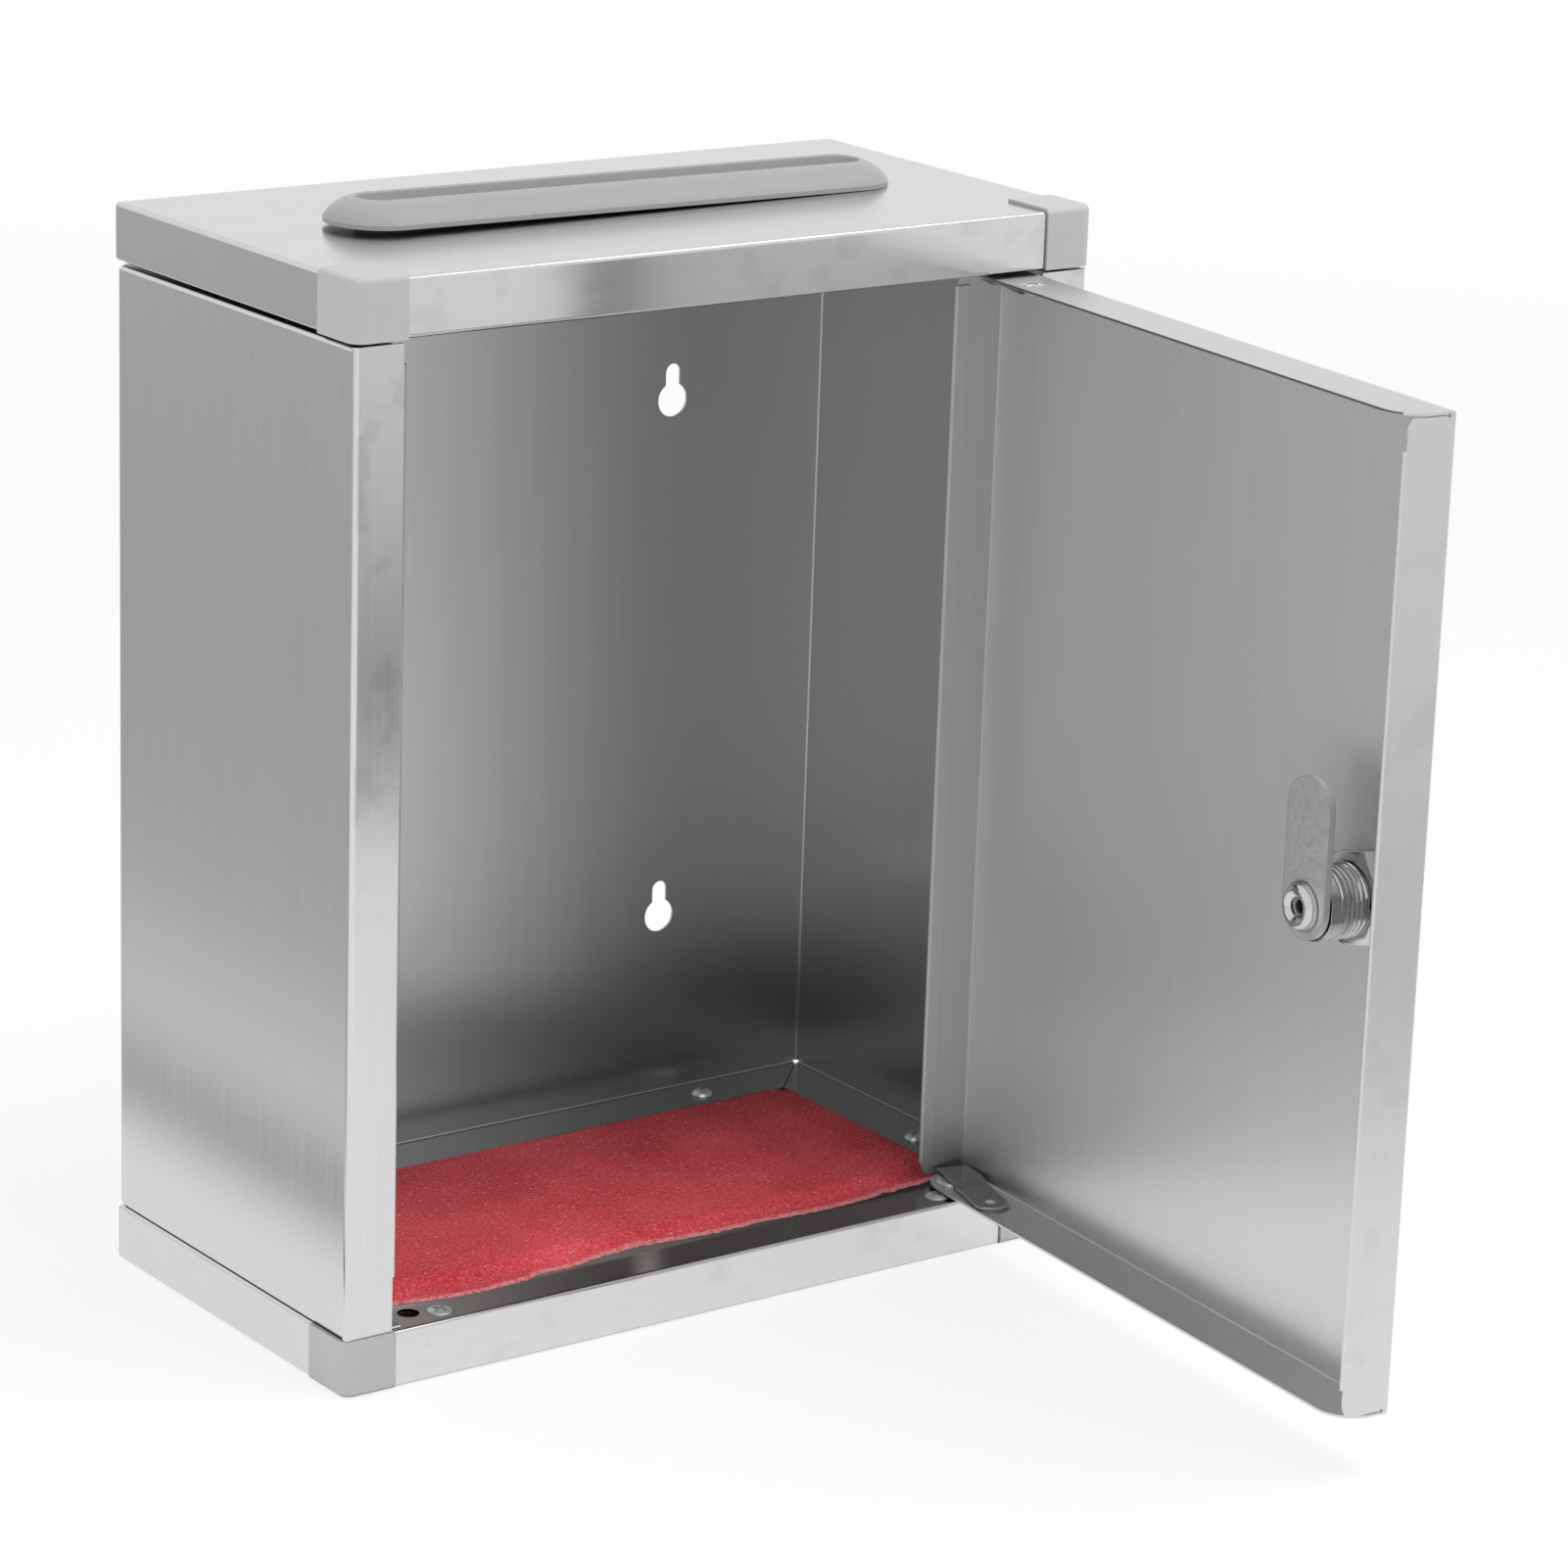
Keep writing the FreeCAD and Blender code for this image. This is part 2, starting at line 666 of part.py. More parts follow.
def hinge_plate():
    # Bottom plate: riveted to the flange at its round end, and stepped up over the pin's head
    z0 = door_low + sheet
    heel = door_right - sheet - plate_flange_gap
    far_edge = door_front + sheet + plate_skin_gap
    heel_far = (heel - plate_heel_slant, far_edge, 0)
    heel_near = (heel, pivot_y + plate_near, 0)
    shoulder = (pivot_x - plate_shoulder, far_edge, 0)
    far_touch = end_touch(shoulder[0], shoulder[1], -1)
    near_touch = end_touch(heel_near[0], heel_near[1], 1)
    round_end = arc(far_touch, (rivet_x - plate_end_radius, rivet_y, 0), near_touch)
    outline = [line(heel_near, heel_far), line(heel_far, shoulder), line(shoulder, far_touch), round_end,
               line(near_touch, heel_near)]
    blank = Part.Face(Part.Wire(outline)).extrude(Vector(0, 0, case_height))
    step_end = pivot_x - pin_head / 2 - plate_step_gap
    raised = z0 + pin_head_height
    under = [(rivet_x - plate_end_radius - overcut, z0), (step_end - plate_step_run, z0), (step_end, raised),
             (heel + overcut, raised)]
    upper = [(x, z + plate_thickness) for x, z in reversed(under)]
    y0 = far_edge - overcut
    y1 = rivet_y + plate_end_radius + overcut
    strip = flat_face([(x, y0, z) for x, z in under + upper]).extrude(Vector(0, y1 - y0, 0))
    hole = upright(rivet_diameter / 2 + pin_play, rivet_x, rivet_y, z0 - overcut, raised + plate_thickness)
    return strip.common(blank).cut(hole)


def hinge_pin():
    seat = door_low + sheet
    shank = upright(pin_diameter / 2, pivot_x, pivot_y, base_top - pin_engagement, seat)
    head = bevelled_head(pin_head / 2, pin_head_height, pin_head_bevel)
    head.translate(Vector(pivot_x, pivot_y, seat))
    return joined([shank, head])


def hinge_rivet():
    seat = door_low + sheet + plate_thickness
    tail = upright(rivet_head / 2, rivet_x, rivet_y, door_low - rivet_tail_height, door_low)
    shank = upright(rivet_diameter / 2, rivet_x, rivet_y, door_low, seat)
    crown = bevelled_head(rivet_head / 2, rivet_head_height, rivet_head_bevel)
    crown.translate(Vector(rivet_x, rivet_y, seat))
    return joined([tail, shank, crown])


def lock_barrel(play, from_skin, to_skin):
    # Round bar with a flat on each side, along the lock's axis
    y0 = door_front + from_skin
    y1 = door_front + to_skin
    reach = barrel_across_flats / 2 + play
    tall = barrel_diameter
    bar = along_y(barrel_diameter / 2 + play, lock_x, lock_height, y0, y1)
    return bar.common(block(lock_x - reach, lock_x + reach, y0, y1, lock_height - tall, lock_height + tall))


def lock_housing():
    y = door_front
    head = bevelled_head(lock_head / 2, lock_head_height, lock_head_bevel)
    head.rotate(Vector(0, 0, 0), Vector(1, 0, 0), 90)
    head.translate(Vector(lock_x, y, lock_height))
    housing = joined([head, lock_barrel(0, 0, barrel_length)])
    bore = along_y(plug_diameter / 2 + plug_play, lock_x, lock_height, y - lock_head_height - overcut,
                   y + barrel_length + overcut)
    seat = y - lock_head_height + plug_recess + plug_head_depth + plug_play
    counterbore = along_y(plug_head / 2 + plug_play, lock_x, lock_height, y - lock_head_height - overcut, seat)
    return housing.cut([bore, counterbore])


def lock_nut():
    y0 = door_front + sheet
    y1 = y0 + nut_thickness
    corner = nut_across_flats / math.sqrt(3)
    points = [(lock_x + corner * math.cos(math.radians(60 * i)), y0,
               lock_height + corner * math.sin(math.radians(60 * i))) for i in range(6)]
    hexagon = flat_face(points).extrude(Vector(0, nut_thickness, 0))
    rim = corner - nut_bevel
    reach = nut_bevel + 2 * nut_thickness
    chamfer = Part.makeCone(rim + reach, rim, reach, Vector(lock_x, y1 - reach, lock_height), Vector(0, 1, 0))
    bore = along_y(barrel_diameter / 2 + barrel_play, lock_x, lock_height, y0 - overcut, y1 + overcut)
    return hexagon.common(chamfer).cut(bore)


def cam_seat():
    return door_front + barrel_length + cam_gap


def wafer_spots():
    return [door_front + wafer_first + index * wafer_pitch for index in range(wafer_count)]


def lock_plug():
    face = door_front - lock_head_height + plug_recess
    head = along_y(plug_head / 2, lock_x, lock_height, face, face + plug_head_depth)
    core = along_y(plug_diameter / 2, lock_x, lock_height, face, cam_seat())
    half = square_stub / 2
    stub = block(lock_x - half, lock_x + half, cam_seat(), cam_seat() + cam_thickness - square_play,
                 lock_height - half, lock_height + half)
    plug = joined([head, core, stub])
    keyway_end = wafer_spots()[-1] + wafer_thickness + wafer_pitch / 2
    cuts = [block(lock_x - keyway_width / 2, lock_x + keyway_width / 2, face - overcut, keyway_end,
                  lock_height - keyway_height / 2, lock_height + keyway_height / 2)]
    half_slot = wafer_width / 2 + wafer_play
    for y in wafer_spots():
        cuts.append(block(lock_x - half_slot, lock_x + half_slot, y - wafer_play,
                          y + wafer_thickness + wafer_play, lock_height - plug_diameter,
                          lock_height + plug_diameter))
    screw_end = cam_seat() + cam_thickness - cam_screw_length - screw_play
    cuts.append(along_y(cam_screw_shank / 2 + screw_play, lock_x, lock_height, screw_end,
                        cam_seat() + cam_thickness + overcut))
    return plug.cut(cuts)


def lock_wafers():
    wafers = []
    for y in wafer_spots():
        plate = block(lock_x - wafer_width / 2, lock_x + wafer_width / 2, y, y + wafer_thickness,
                      lock_height - wafer_height / 2, lock_height + wafer_height / 2)
        half_wide = keyway_width / 2 + wafer_play
        half_high = keyway_height / 2 + wafer_play
        window = block(lock_x - half_wide, lock_x + half_wide, y - overcut, y + wafer_thickness + overcut,
                       lock_height - half_high, lock_height + half_high)
        wafers.append(plate.cut(window))
    return Part.makeCompound(wafers)


def lock_cam():
    y0 = cam_seat()
    y1 = y0 + cam_thickness
    radius = cam_width / 2
    tip = lock_height + cam_reach - radius
    plate = joined([along_y(radius, lock_x, lock_height, y0, y1), along_y(radius, lock_x, tip, y0, y1),
                    block(lock_x - radius, lock_x + radius, y0, y1, lock_height, tip)])
    half = square_stub / 2 + square_play
    return plate.cut(block(lock_x - half, lock_x + half, y0 - overcut, y1 + overcut, lock_height - half,
                           lock_height + half))


def cam_screw():
    # Low round head with a collar, dished towards a socket in the middle
    collar = cam_screw_collar / 2
    head = cam_screw_head / 2
    crest = cam_screw_crest / 2
    socket = cam_screw_recess / 2
    dish = cam_screw_height - cam_screw_dish
    half_up = (cam_screw_rim + cam_screw_height) / 2
    shoulder = ((head + crest) / 2 + cam_screw_bulge, half_up + cam_screw_bulge)
    hollow = ((crest + socket) / 2, (cam_screw_height + dish) / 2 + cam_screw_bulge / 4)
    y0 = cam_seat() + cam_thickness

    def spot(radius, rise):
        return (lock_x + radius, y0 + rise, lock_height)

    shank = cam_screw_shank / 2
    foot = [spot(0, -cam_screw_length), spot(shank, -cam_screw_length), spot(shank, 0), spot(collar, 0),
            spot(collar, cam_screw_rim), spot(head, cam_screw_rim)]
    depth = dish - cam_screw_recess_depth
    floor = [spot(socket, dish), spot(socket, depth), spot(0, depth), spot(0, -cam_screw_length)]
    edges = [line(foot[i], foot[i + 1]) for i in range(len(foot) - 1)]
    edges.append(arc(foot[-1], spot(*shoulder), spot(crest, cam_screw_height)))
    edges.append(arc(spot(crest, cam_screw_height), spot(*hollow), floor[0]))
    edges += [line(floor[i], floor[i + 1]) for i in range(len(floor) - 1)]
    section = Part.Face(Part.Wire(edges))
    return section.revolve(Vector(lock_x, 0, lock_height), Vector(0, 1, 0), 360)


base_cap = corner_cap(0)
head_cap = mirrored_z(corner_cap(cap_proud))
flat_screws = placed(countersunk_screw, 0, front_screw_spots())
pan_screws = placed(pan_screw, 0, flange_screw_spots())
plate = hinge_plate()
pin = hinge_pin()
rivet = hinge_rivet()

case_pieces = {
    "base_tray": tray(),
    "top_tray": top_tray(),
    "body_shell": body_shell(),
    "base_cap_left": base_cap,
    "base_cap_right": mirrored_x(base_cap),
    "top_cap_left": head_cap,
    "top_cap_right": mirrored_x(head_cap),
    "slot_bezel": slot_bezel(),
    "cap_screws": Part.makeCompound(flat_screws + [mirrored_z(screw) for screw in flat_screws]),
    "flange_screws": Part.makeCompound(pan_screws + [at_head(screw) for screw in pan_screws]),
    "foam_mat": foam_mat(),
}

door_pieces = {
    "door_panel": door_panel(),
    "hinge_plate_bottom": plate,
    "hinge_plate_top": mirrored_z(plate),
    "hinge_pin_bottom": pin,
    "hinge_pin_top": mirrored_z(pin),
    "hinge_rivets": Part.makeCompound([rivet, mirrored_z(rivet)]),
    "lock_housing": lock_housing(),
    "lock_nut": lock_nut(),
    "lock_plug": lock_plug(),
    "lock_wafers": lock_wafers(),
    "lock_cam": lock_cam(),
    "cam_screw": cam_screw(),
}

os.makedirs("parts", exist_ok=True)
for name, shape in case_pieces.items():
    shape.exportStep("parts/" + name + ".step")
for name, shape in door_pieces.items():
    shape.rotate(Vector(pivot_x, pivot_y, 0), Vector(0, 0, 1), door_open_angle)
    shape.exportStep("parts/" + name + ".step")
print("nodes:", len(case_pieces) + len(door_pieces))
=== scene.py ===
import bpy, bmesh, json, math, random
from mathutils import Matrix, Vector, noise


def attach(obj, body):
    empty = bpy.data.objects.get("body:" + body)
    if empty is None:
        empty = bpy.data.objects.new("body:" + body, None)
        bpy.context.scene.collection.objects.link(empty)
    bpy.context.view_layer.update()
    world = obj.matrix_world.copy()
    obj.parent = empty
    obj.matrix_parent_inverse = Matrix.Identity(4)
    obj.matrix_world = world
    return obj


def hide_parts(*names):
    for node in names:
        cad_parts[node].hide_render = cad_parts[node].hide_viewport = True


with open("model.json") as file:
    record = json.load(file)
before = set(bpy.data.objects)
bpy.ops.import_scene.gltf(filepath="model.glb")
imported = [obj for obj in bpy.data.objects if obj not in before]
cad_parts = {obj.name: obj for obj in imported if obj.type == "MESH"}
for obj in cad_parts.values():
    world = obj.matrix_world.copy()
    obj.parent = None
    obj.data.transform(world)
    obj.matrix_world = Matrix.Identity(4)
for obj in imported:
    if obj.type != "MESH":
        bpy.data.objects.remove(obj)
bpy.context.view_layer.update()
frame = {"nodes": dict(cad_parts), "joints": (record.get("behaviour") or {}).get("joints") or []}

scene = bpy.context.scene
mm = 0.001
nodes = frame["nodes"]
lockJoint = next(joint for joint in frame["joints"] if joint["name"] == "lock_turn")
lockAxis, lockSpot = Vector(lockJoint["axis"]).normalized(), Vector(lockJoint["pos_m"])
print("frame loaded:", len(nodes), "nodes")


def linearColour(hexCode):
    parts = [int(hexCode[i:i + 2], 16) / 255 for i in (1, 3, 5)]
    return [p / 12.92 if p <= 0.04045 else ((p + 0.055) / 1.055) ** 2.4 for p in parts] + [1.0]


# a kind without Node in it is one of the tree's own; From and To take both ends of a range; a node as input stands for
# its first output in use, a list for several links and a hex code for its linear colour
def addNode(tree, kind, inputs=None, **settings):
    made = tree.nodes.new(kind if "Node" in kind else tree.bl_idname[:-len("Tree")] + kind)
    for name, value in settings.items():
        setattr(made, name, value)
    wanted = {}
    for key, value in (inputs or {}).items():
        wanted.update({key + " Min": value[0], key + " Max": value[1]} if key in ("From", "To") else {key: value})
    for key, values in wanted.items():
        for value in values if isinstance(values, list) else [values]:
            if isinstance(value, bpy.types.Node):
                value = next(output for output in value.outputs if output.enabled)
            if isinstance(value, bpy.types.NodeSocket):
                tree.links.new(value, made.inputs[key])
            elif isinstance(value, str) and value.startswith("#"):
                made.inputs[key].default_value = linearColour(value)
            else:
                made.inputs[key].default_value = value
    return made


def newMaterial(name):
    made = bpy.data.materials.new(name)
    made.use_nodes = True
    made.node_tree.nodes.clear()
    return made, made.node_tree


# camera, from the edges of the case and the door in the photograph
photoCamera = {"size": 1601, "focalPixels": 5631.157, "principal": (890.718, 859.443), "azimuth": -0.652417,
               "elevation": 0.295166, "roll": 0.0388544, "spotMm": (-831.606, -1215.437, 570.672), "sensor": 36.0,
               "clip": (0.05, 50)}


def makeCamera(c):
    level = math.cos(c["elevation"])
    ahead = Vector((-math.sin(c["azimuth"]) * level, math.cos(c["azimuth"]) * level, -math.sin(c["elevation"])))
    right = ahead.cross(Vector((0, 0, 1))).normalized()
    up = right.cross(ahead)
    cosRoll, sinRoll = math.cos(c["roll"]), math.sin(c["roll"])
    sideways, upright = cosRoll * right + sinRoll * up, cosRoll * up - sinRoll * right
    data = bpy.data.cameras.new("photoCamera")
    data.sensor_width = c["sensor"]
    data.lens = c["sensor"] * c["focalPixels"] / c["size"]
    data.shift_x = 0.5 - c["principal"][0] / c["size"]
    data.shift_y = c["principal"][1] / c["size"] - 0.5
    data.clip_start, data.clip_end = c["clip"]
    camera = bpy.data.objects.new("photoCamera", data)
    turn = Matrix((sideways, upright, -ahead)).transposed().to_4x4()
    camera.matrix_world = Matrix.Translation(Vector(c["spotMm"]) * mm) @ turn
    scene.collection.objects.link(camera)
    scene.camera = camera


makeCamera(photoCamera)
print("camera placed")

# rays per point to find hollows and edges
hollowSamples, edgeSamples = 8, 6

# brushed stainless sheet: soft grey reflections drawn out across the brush lines, a duller mill side inside the box
# with painted light and shade along x, painted shade in creases where sheets meet and on flat flanges, and smudges from
# handling on the front
steelLooks = {
    "brushedStainlessBody": {
        "grain": 2, "colour": "#dcdcdc", "darker": "#d8d8d8", "roughness": 0.22, "spread": 0.03,
        "anisotropic": 0.86, "bump": 0.012, "middle": (0, 0, 0.15), "inward": (1, 1, 0), "millFrom": -0.02,
        "mill": ("#f8f8f8", "#d4d4d4"), "millShadeSpan": (-0.1, 0.06), "millRough": 0.12, "smudge": 0.13,
        "smudgeSpan": (0.12, 0.16), "creaseDark": 0.14, "flatShadeDark": 0.45},
    # the door's sheet is given a lighter colour than the body's, as painted light
    "brushedStainlessDoor": {
        "grain": 2, "colour": "#e2e2e2", "darker": "#dedede", "roughness": 0.43, "spread": 0.03,
        "anisotropic": 0.85, "bump": 0.012, "middle": (0.1, -0.28, 0.15), "inward": (0, 1, 0), "millFrom": -0.1,
        "mill": ("#d0d0d0", "#c8c8c8"), "millShadeSpan": (0.08, 0.1), "millRough": 0, "smudge": 0.05,
        "smudgeSpan": (-1, -0.9), "creaseDark": 0.7, "flatShadeDark": 1.0,
        "cutEdgeShade": {"facing": 0.8, "above": 0.28235, "dark": 0.3}},
    "brushedStainlessTray": {
        "grain": 0, "colour": "#dcdcdc", "darker": "#d7d7d7", "roughness": 0.17, "spread": 0.04,
        "anisotropic": 0.55, "bump": 0.015, "middle": (0, 0, 0.15), "inward": (0, 0, 1), "millFrom": -0.128,
        "mill": ("#e0d4d0", "#aca19e"), "millShadeSpan": (-0.09, -0.03), "millRough": 0, "smudge": 0.07,
        "smudgeSpan": (-1, -0.9), "creaseDark": 0.14, "flatShadeDark": 1.0},
}
# real brush lines are about 0.1 mm apart, drawn coarser here so that they show
steelPattern = {"lineWidthMm": 0.6, "lineLengthMm": 60, "lineDepthMm": 0.1, "bandWidthMm": 9, "bandShare": 0.3,
                "bandWeight": 0.5, "toned": (0.5, 1.0), "roughened": (0.25, 0.75), "smudgeMm": 13,
                "wiped": (0.52, 0.66), "creaseMm": 1.6, "creased": (0.12, 0.7), "flat": (0.6, 0.9),
                "front": (-0.8, -0.95), "brushWay": {0: (1.0, 0.0, 0.01), 2: (0.0, 0.01, 1.0)}}
# painted shade inside the pivot holes of the trays
pivotHole = {"spot": (0.092, -0.051, 0), "radius": 0.0034, "steep": 0.5, "dark": 0.04}


def holeShade(tree, place, facing):
    parts = addNode(tree, "SeparateXYZ", {0: place})
    aside = addNode(tree, "Math", {0: parts.outputs[0]}, operation="ABSOLUTE")
    level = addNode(tree, "CombineXYZ", {0: aside, 1: parts.outputs[1]})
    reach = addNode(tree, "VectorMath", {0: level, 1: pivotHole["spot"]}, operation="DISTANCE")
    close = addNode(tree, "Math", {0: reach, 1: pivotHole["radius"]}, operation="LESS_THAN")
    tilt = addNode(tree, "SeparateXYZ", {0: facing})
    steep = addNode(tree, "Math", {0: tilt.outputs[2], 1: 0.0, 2: pivotHole["steep"]}, operation="COMPARE")
    wall = addNode(tree, "Math", {0: close, 1: steep}, operation="MULTIPLY")
    return addNode(tree, "MapRange", {"Value": wall, "To": (1.0, pivotHole["dark"])})


def brushedStainless(name, look, pattern):
    material, tree = newMaterial(name)
    # both in the piece's own frame, so that the pattern moves with the door
    coords = addNode(tree, "TexCoord")
    place, facing = coords.outputs["Object"], coords.outputs["Normal"]
    spot = addNode(tree, "SeparateXYZ", {0: place})
    tilt = addNode(tree, "SeparateXYZ", {0: facing})
    grain, lineScale = look["grain"], 1 / (pattern["lineLengthMm"] * mm)
    fine = [1 / (pattern["lineWidthMm"] * mm)] * 3
    wide = [1 / (pattern["bandWidthMm"] * mm)] * 3
    fine[grain], wide[grain] = lineScale, pattern["bandShare"] * lineScale
    finePlace = addNode(tree, "Mapping", {"Vector": place, "Scale": tuple(fine)})
    widePlace = addNode(tree, "Mapping", {"Vector": place, "Scale": tuple(wide)})
    lines = addNode(tree, "TexNoise", {"Vector": finePlace, "Scale": 1, "Detail": 3})
    bands = addNode(tree, "TexNoise", {"Vector": widePlace, "Scale": 1, "Detail": 2})
    blend = addNode(tree, "Math", {0: bands, 1: pattern["bandWeight"], 2: lines}, operation="MULTIPLY_ADD")
    grey = addNode(tree, "MapRange", {"Value": blend, "From": pattern["toned"]})
    sheen = addNode(tree, "Mix", {"Factor": grey, "A": look["darker"], "B": look["colour"]}, data_type="RGBA")
    # the side of the sheet that looks towards the middle of the box is the mill side; its tone runs lighter to darker
    # along x as painted light and shade, and on the trays it carries a painted reddish reflection of the mat
    away = addNode(tree, "VectorMath", {0: place, 1: look["middle"]}, operation="SUBTRACT")
    reach = addNode(tree, "VectorMath", {0: away, 1: look["inward"]}, operation="MULTIPLY")
    outward = addNode(tree, "VectorMath", {0: reach, 1: facing}, operation="DOT_PRODUCT")
    inner = addNode(tree, "Math", {0: outward, 1: look["millFrom"]}, operation="LESS_THAN")
    along = addNode(tree, "MapRange", {"Value": spot.outputs[0], "From": look["millShadeSpan"]})
    mill = addNode(tree, "Mix", {"Factor": along, "A": look["mill"][0], "B": look["mill"][1]}, data_type="RGBA")
    side = addNode(tree, "Mix", {"Factor": inner, "A": (1, 1, 1, 1), "B": mill}, data_type="RGBA")
    milled = addNode(tree, "VectorMath", {0: sheen, 1: side}, operation="MULTIPLY")
    # smudges on the outer faces that look to the front
    smudge = addNode(tree, "TexNoise", {"Vector": place, "Scale": 1 / (pattern["smudgeMm"] * mm), "Detail": 4})
    wiped = addNode(tree, "MapRange", {"Value": smudge, "From": pattern["wiped"]}, interpolation_type="SMOOTHSTEP")
    reached = addNode(tree, "MapRange", {"Value": spot.outputs[2], "From": look["smudgeSpan"]})
    touched = addNode(tree, "Math", {0: wiped, 1: reached}, operation="MULTIPLY")
    front = addNode(tree, "MapRange", {"Value": tilt.outputs[1], "From": pattern["front"], "To Max": look["smudge"]})
    outer = addNode(tree, "Math", {0: 1.0, 1: inner}, operation="SUBTRACT")
    shown = addNode(tree, "Math", {0: front, 1: outer}, operation="MULTIPLY")
    stain = addNode(tree, "Math", {0: touched, 1: shown}, operation="MULTIPLY")
    clean = addNode(tree, "Math", {0: 1.0, 1: stain}, operation="SUBTRACT")
    # painted shade on flanges that lie flat and in the creases where sheets meet
    lying = addNode(tree, "Math", {0: tilt.outputs[2]}, operation="ABSOLUTE")
    flatShade = addNode(tree, "MapRange", {"Value": lying, "From": pattern["flat"], "To": (1.0, look["flatShadeDark"])})
    smudgedAndFlatShaded = addNode(tree, "Math", {0: clean, 1: flatShade}, operation="MULTIPLY")
    crease = addNode(tree, "AmbientOcclusion", {"Distance": pattern["creaseMm"] * mm}, samples=hollowSamples)
    creaseShade = addNode(tree, "MapRange", {"Value": crease.outputs["AO"], "From": pattern["creased"],
                                       "To": (look["creaseDark"], 1.0)})
    smudgedAndShaded = addNode(tree, "Math", {0: smudgedAndFlatShaded, 1: creaseShade}, operation="MULTIPLY")
    dull = addNode(tree, "Math", {0: smudgedAndShaded, 1: holeShade(tree, place, facing)}, operation="MULTIPLY")
    if "cutEdgeShade" in look:
        # painted shade on the cut edge along the top of the door
        edge = look["cutEdgeShade"]
        turned = addNode(tree, "VectorMath", {0: facing, 1: -lockAxis}, operation="DOT_PRODUCT")
        inside = addNode(tree, "Math", {0: turned, 1: edge["facing"]}, operation="GREATER_THAN")
        high = addNode(tree, "Math", {0: spot.outputs[2], 1: edge["above"]}, operation="GREATER_THAN")
        cut = addNode(tree, "Math", {0: inside, 1: high}, operation="MULTIPLY")
        rim = addNode(tree, "MapRange", {"Value": cut, "To": (1.0, edge["dark"])})
        dull = addNode(tree, "Math", {0: dull, 1: rim}, operation="MULTIPLY")
    colour = addNode(tree, "VectorMath", {0: milled, "Scale": dull}, operation="SCALE")
    smoothest, roughest = look["roughness"] - look["spread"] / 2, look["roughness"] + look["spread"] / 2
    rough = addNode(tree, "MapRange", {"Value": lines, "From": pattern["roughened"], "To": (smoothest, roughest)})
    rougher = addNode(tree, "Math", {0: inner, 1: look["millRough"], 2: rough}, operation="MULTIPLY_ADD")
    bump = addNode(tree, "Bump", {"Height": lines, "Strength": look["bump"], "Distance": pattern["lineDepthMm"] * mm})
    # reflections spread across the brush lines
    roomFacing = addNode(tree, "NewGeometry").outputs["Normal"]
    across = addNode(tree, "VectorMath", {0: roomFacing, 1: pattern["brushWay"][grain]}, operation="CROSS_PRODUCT")
    shader = addNode(tree, "BsdfPrincipled", {"Base Color": colour, "Metallic": 1.0, "Roughness": rougher,
                                              "Normal": bump, "Anisotropic": look["anisotropic"],
                                              "Tangent": across})
    addNode(tree, "OutputMaterial", {"Surface": shader})
    return material


# light grey ABS: moulded, satin, with the fine grain of a spark-eroded mould
absLooks = {
    "mouldedGreyAbs": {"colour": "#c2c2c3", "darker": "#bcbcbd", "roughness": 0.42, "grainMm": 0.5, "cloudMm": 18,
                       "bump": 0.12},
    "mouldedDarkerAbs": {"colour": "#a6a6a7", "darker": "#a0a0a1", "roughness": 0.36, "grainMm": 0.6, "cloudMm": 30,
                         "bump": 0.08},
}
absPattern = {"spread": 0.12, "depthMm": 0.05, "hollowMm": 3.5, "hollow": (0.15, 0.5), "hollowDark": 0.03, "ior": 1.53}


def mouldedAbs(name, look, pattern):
    material, tree = newMaterial(name)
    place = addNode(tree, "TexCoord").outputs["Object"]
    grain = addNode(tree, "TexNoise", {"Vector": place, "Scale": 1 / (look["grainMm"] * mm), "Detail": 2})
    cloud = addNode(tree, "TexNoise", {"Vector": place, "Scale": 1 / (look["cloudMm"] * mm), "Detail": 3})
    plain = addNode(tree, "Mix", {"Factor": cloud, "A": look["darker"], "B": look["colour"]}, data_type="RGBA")
    # painted shade deep in holes and along the joints
    hollow = addNode(tree, "AmbientOcclusion", {"Distance": pattern["hollowMm"] * mm}, samples=hollowSamples)
    shade = addNode(tree, "MapRange", {"Value": hollow.outputs["AO"], "From": pattern["hollow"],
                                       "To": (pattern["hollowDark"], 1.0)})
    facing = addNode(tree, "NewGeometry").outputs["Normal"]
    dark = addNode(tree, "Math", {0: shade, 1: holeShade(tree, place, facing)}, operation="MULTIPLY")
    colour = addNode(tree, "VectorMath", {0: plain, "Scale": dark}, operation="SCALE")
    smoothest, roughest = look["roughness"] - pattern["spread"] / 2, look["roughness"] + pattern["spread"] / 2
    rough = addNode(tree, "MapRange", {"Value": grain, "To": (smoothest, roughest)})
    bump = addNode(tree, "Bump", {"Height": grain, "Strength": look["bump"], "Distance": pattern["depthMm"] * mm})
    shader = addNode(tree, "BsdfPrincipled", {"Base Color": colour, "IOR": pattern["ior"], "Roughness": rough,
                                              "Normal": bump})
    addNode(tree, "OutputMaterial", {"Surface": shader})
    return material
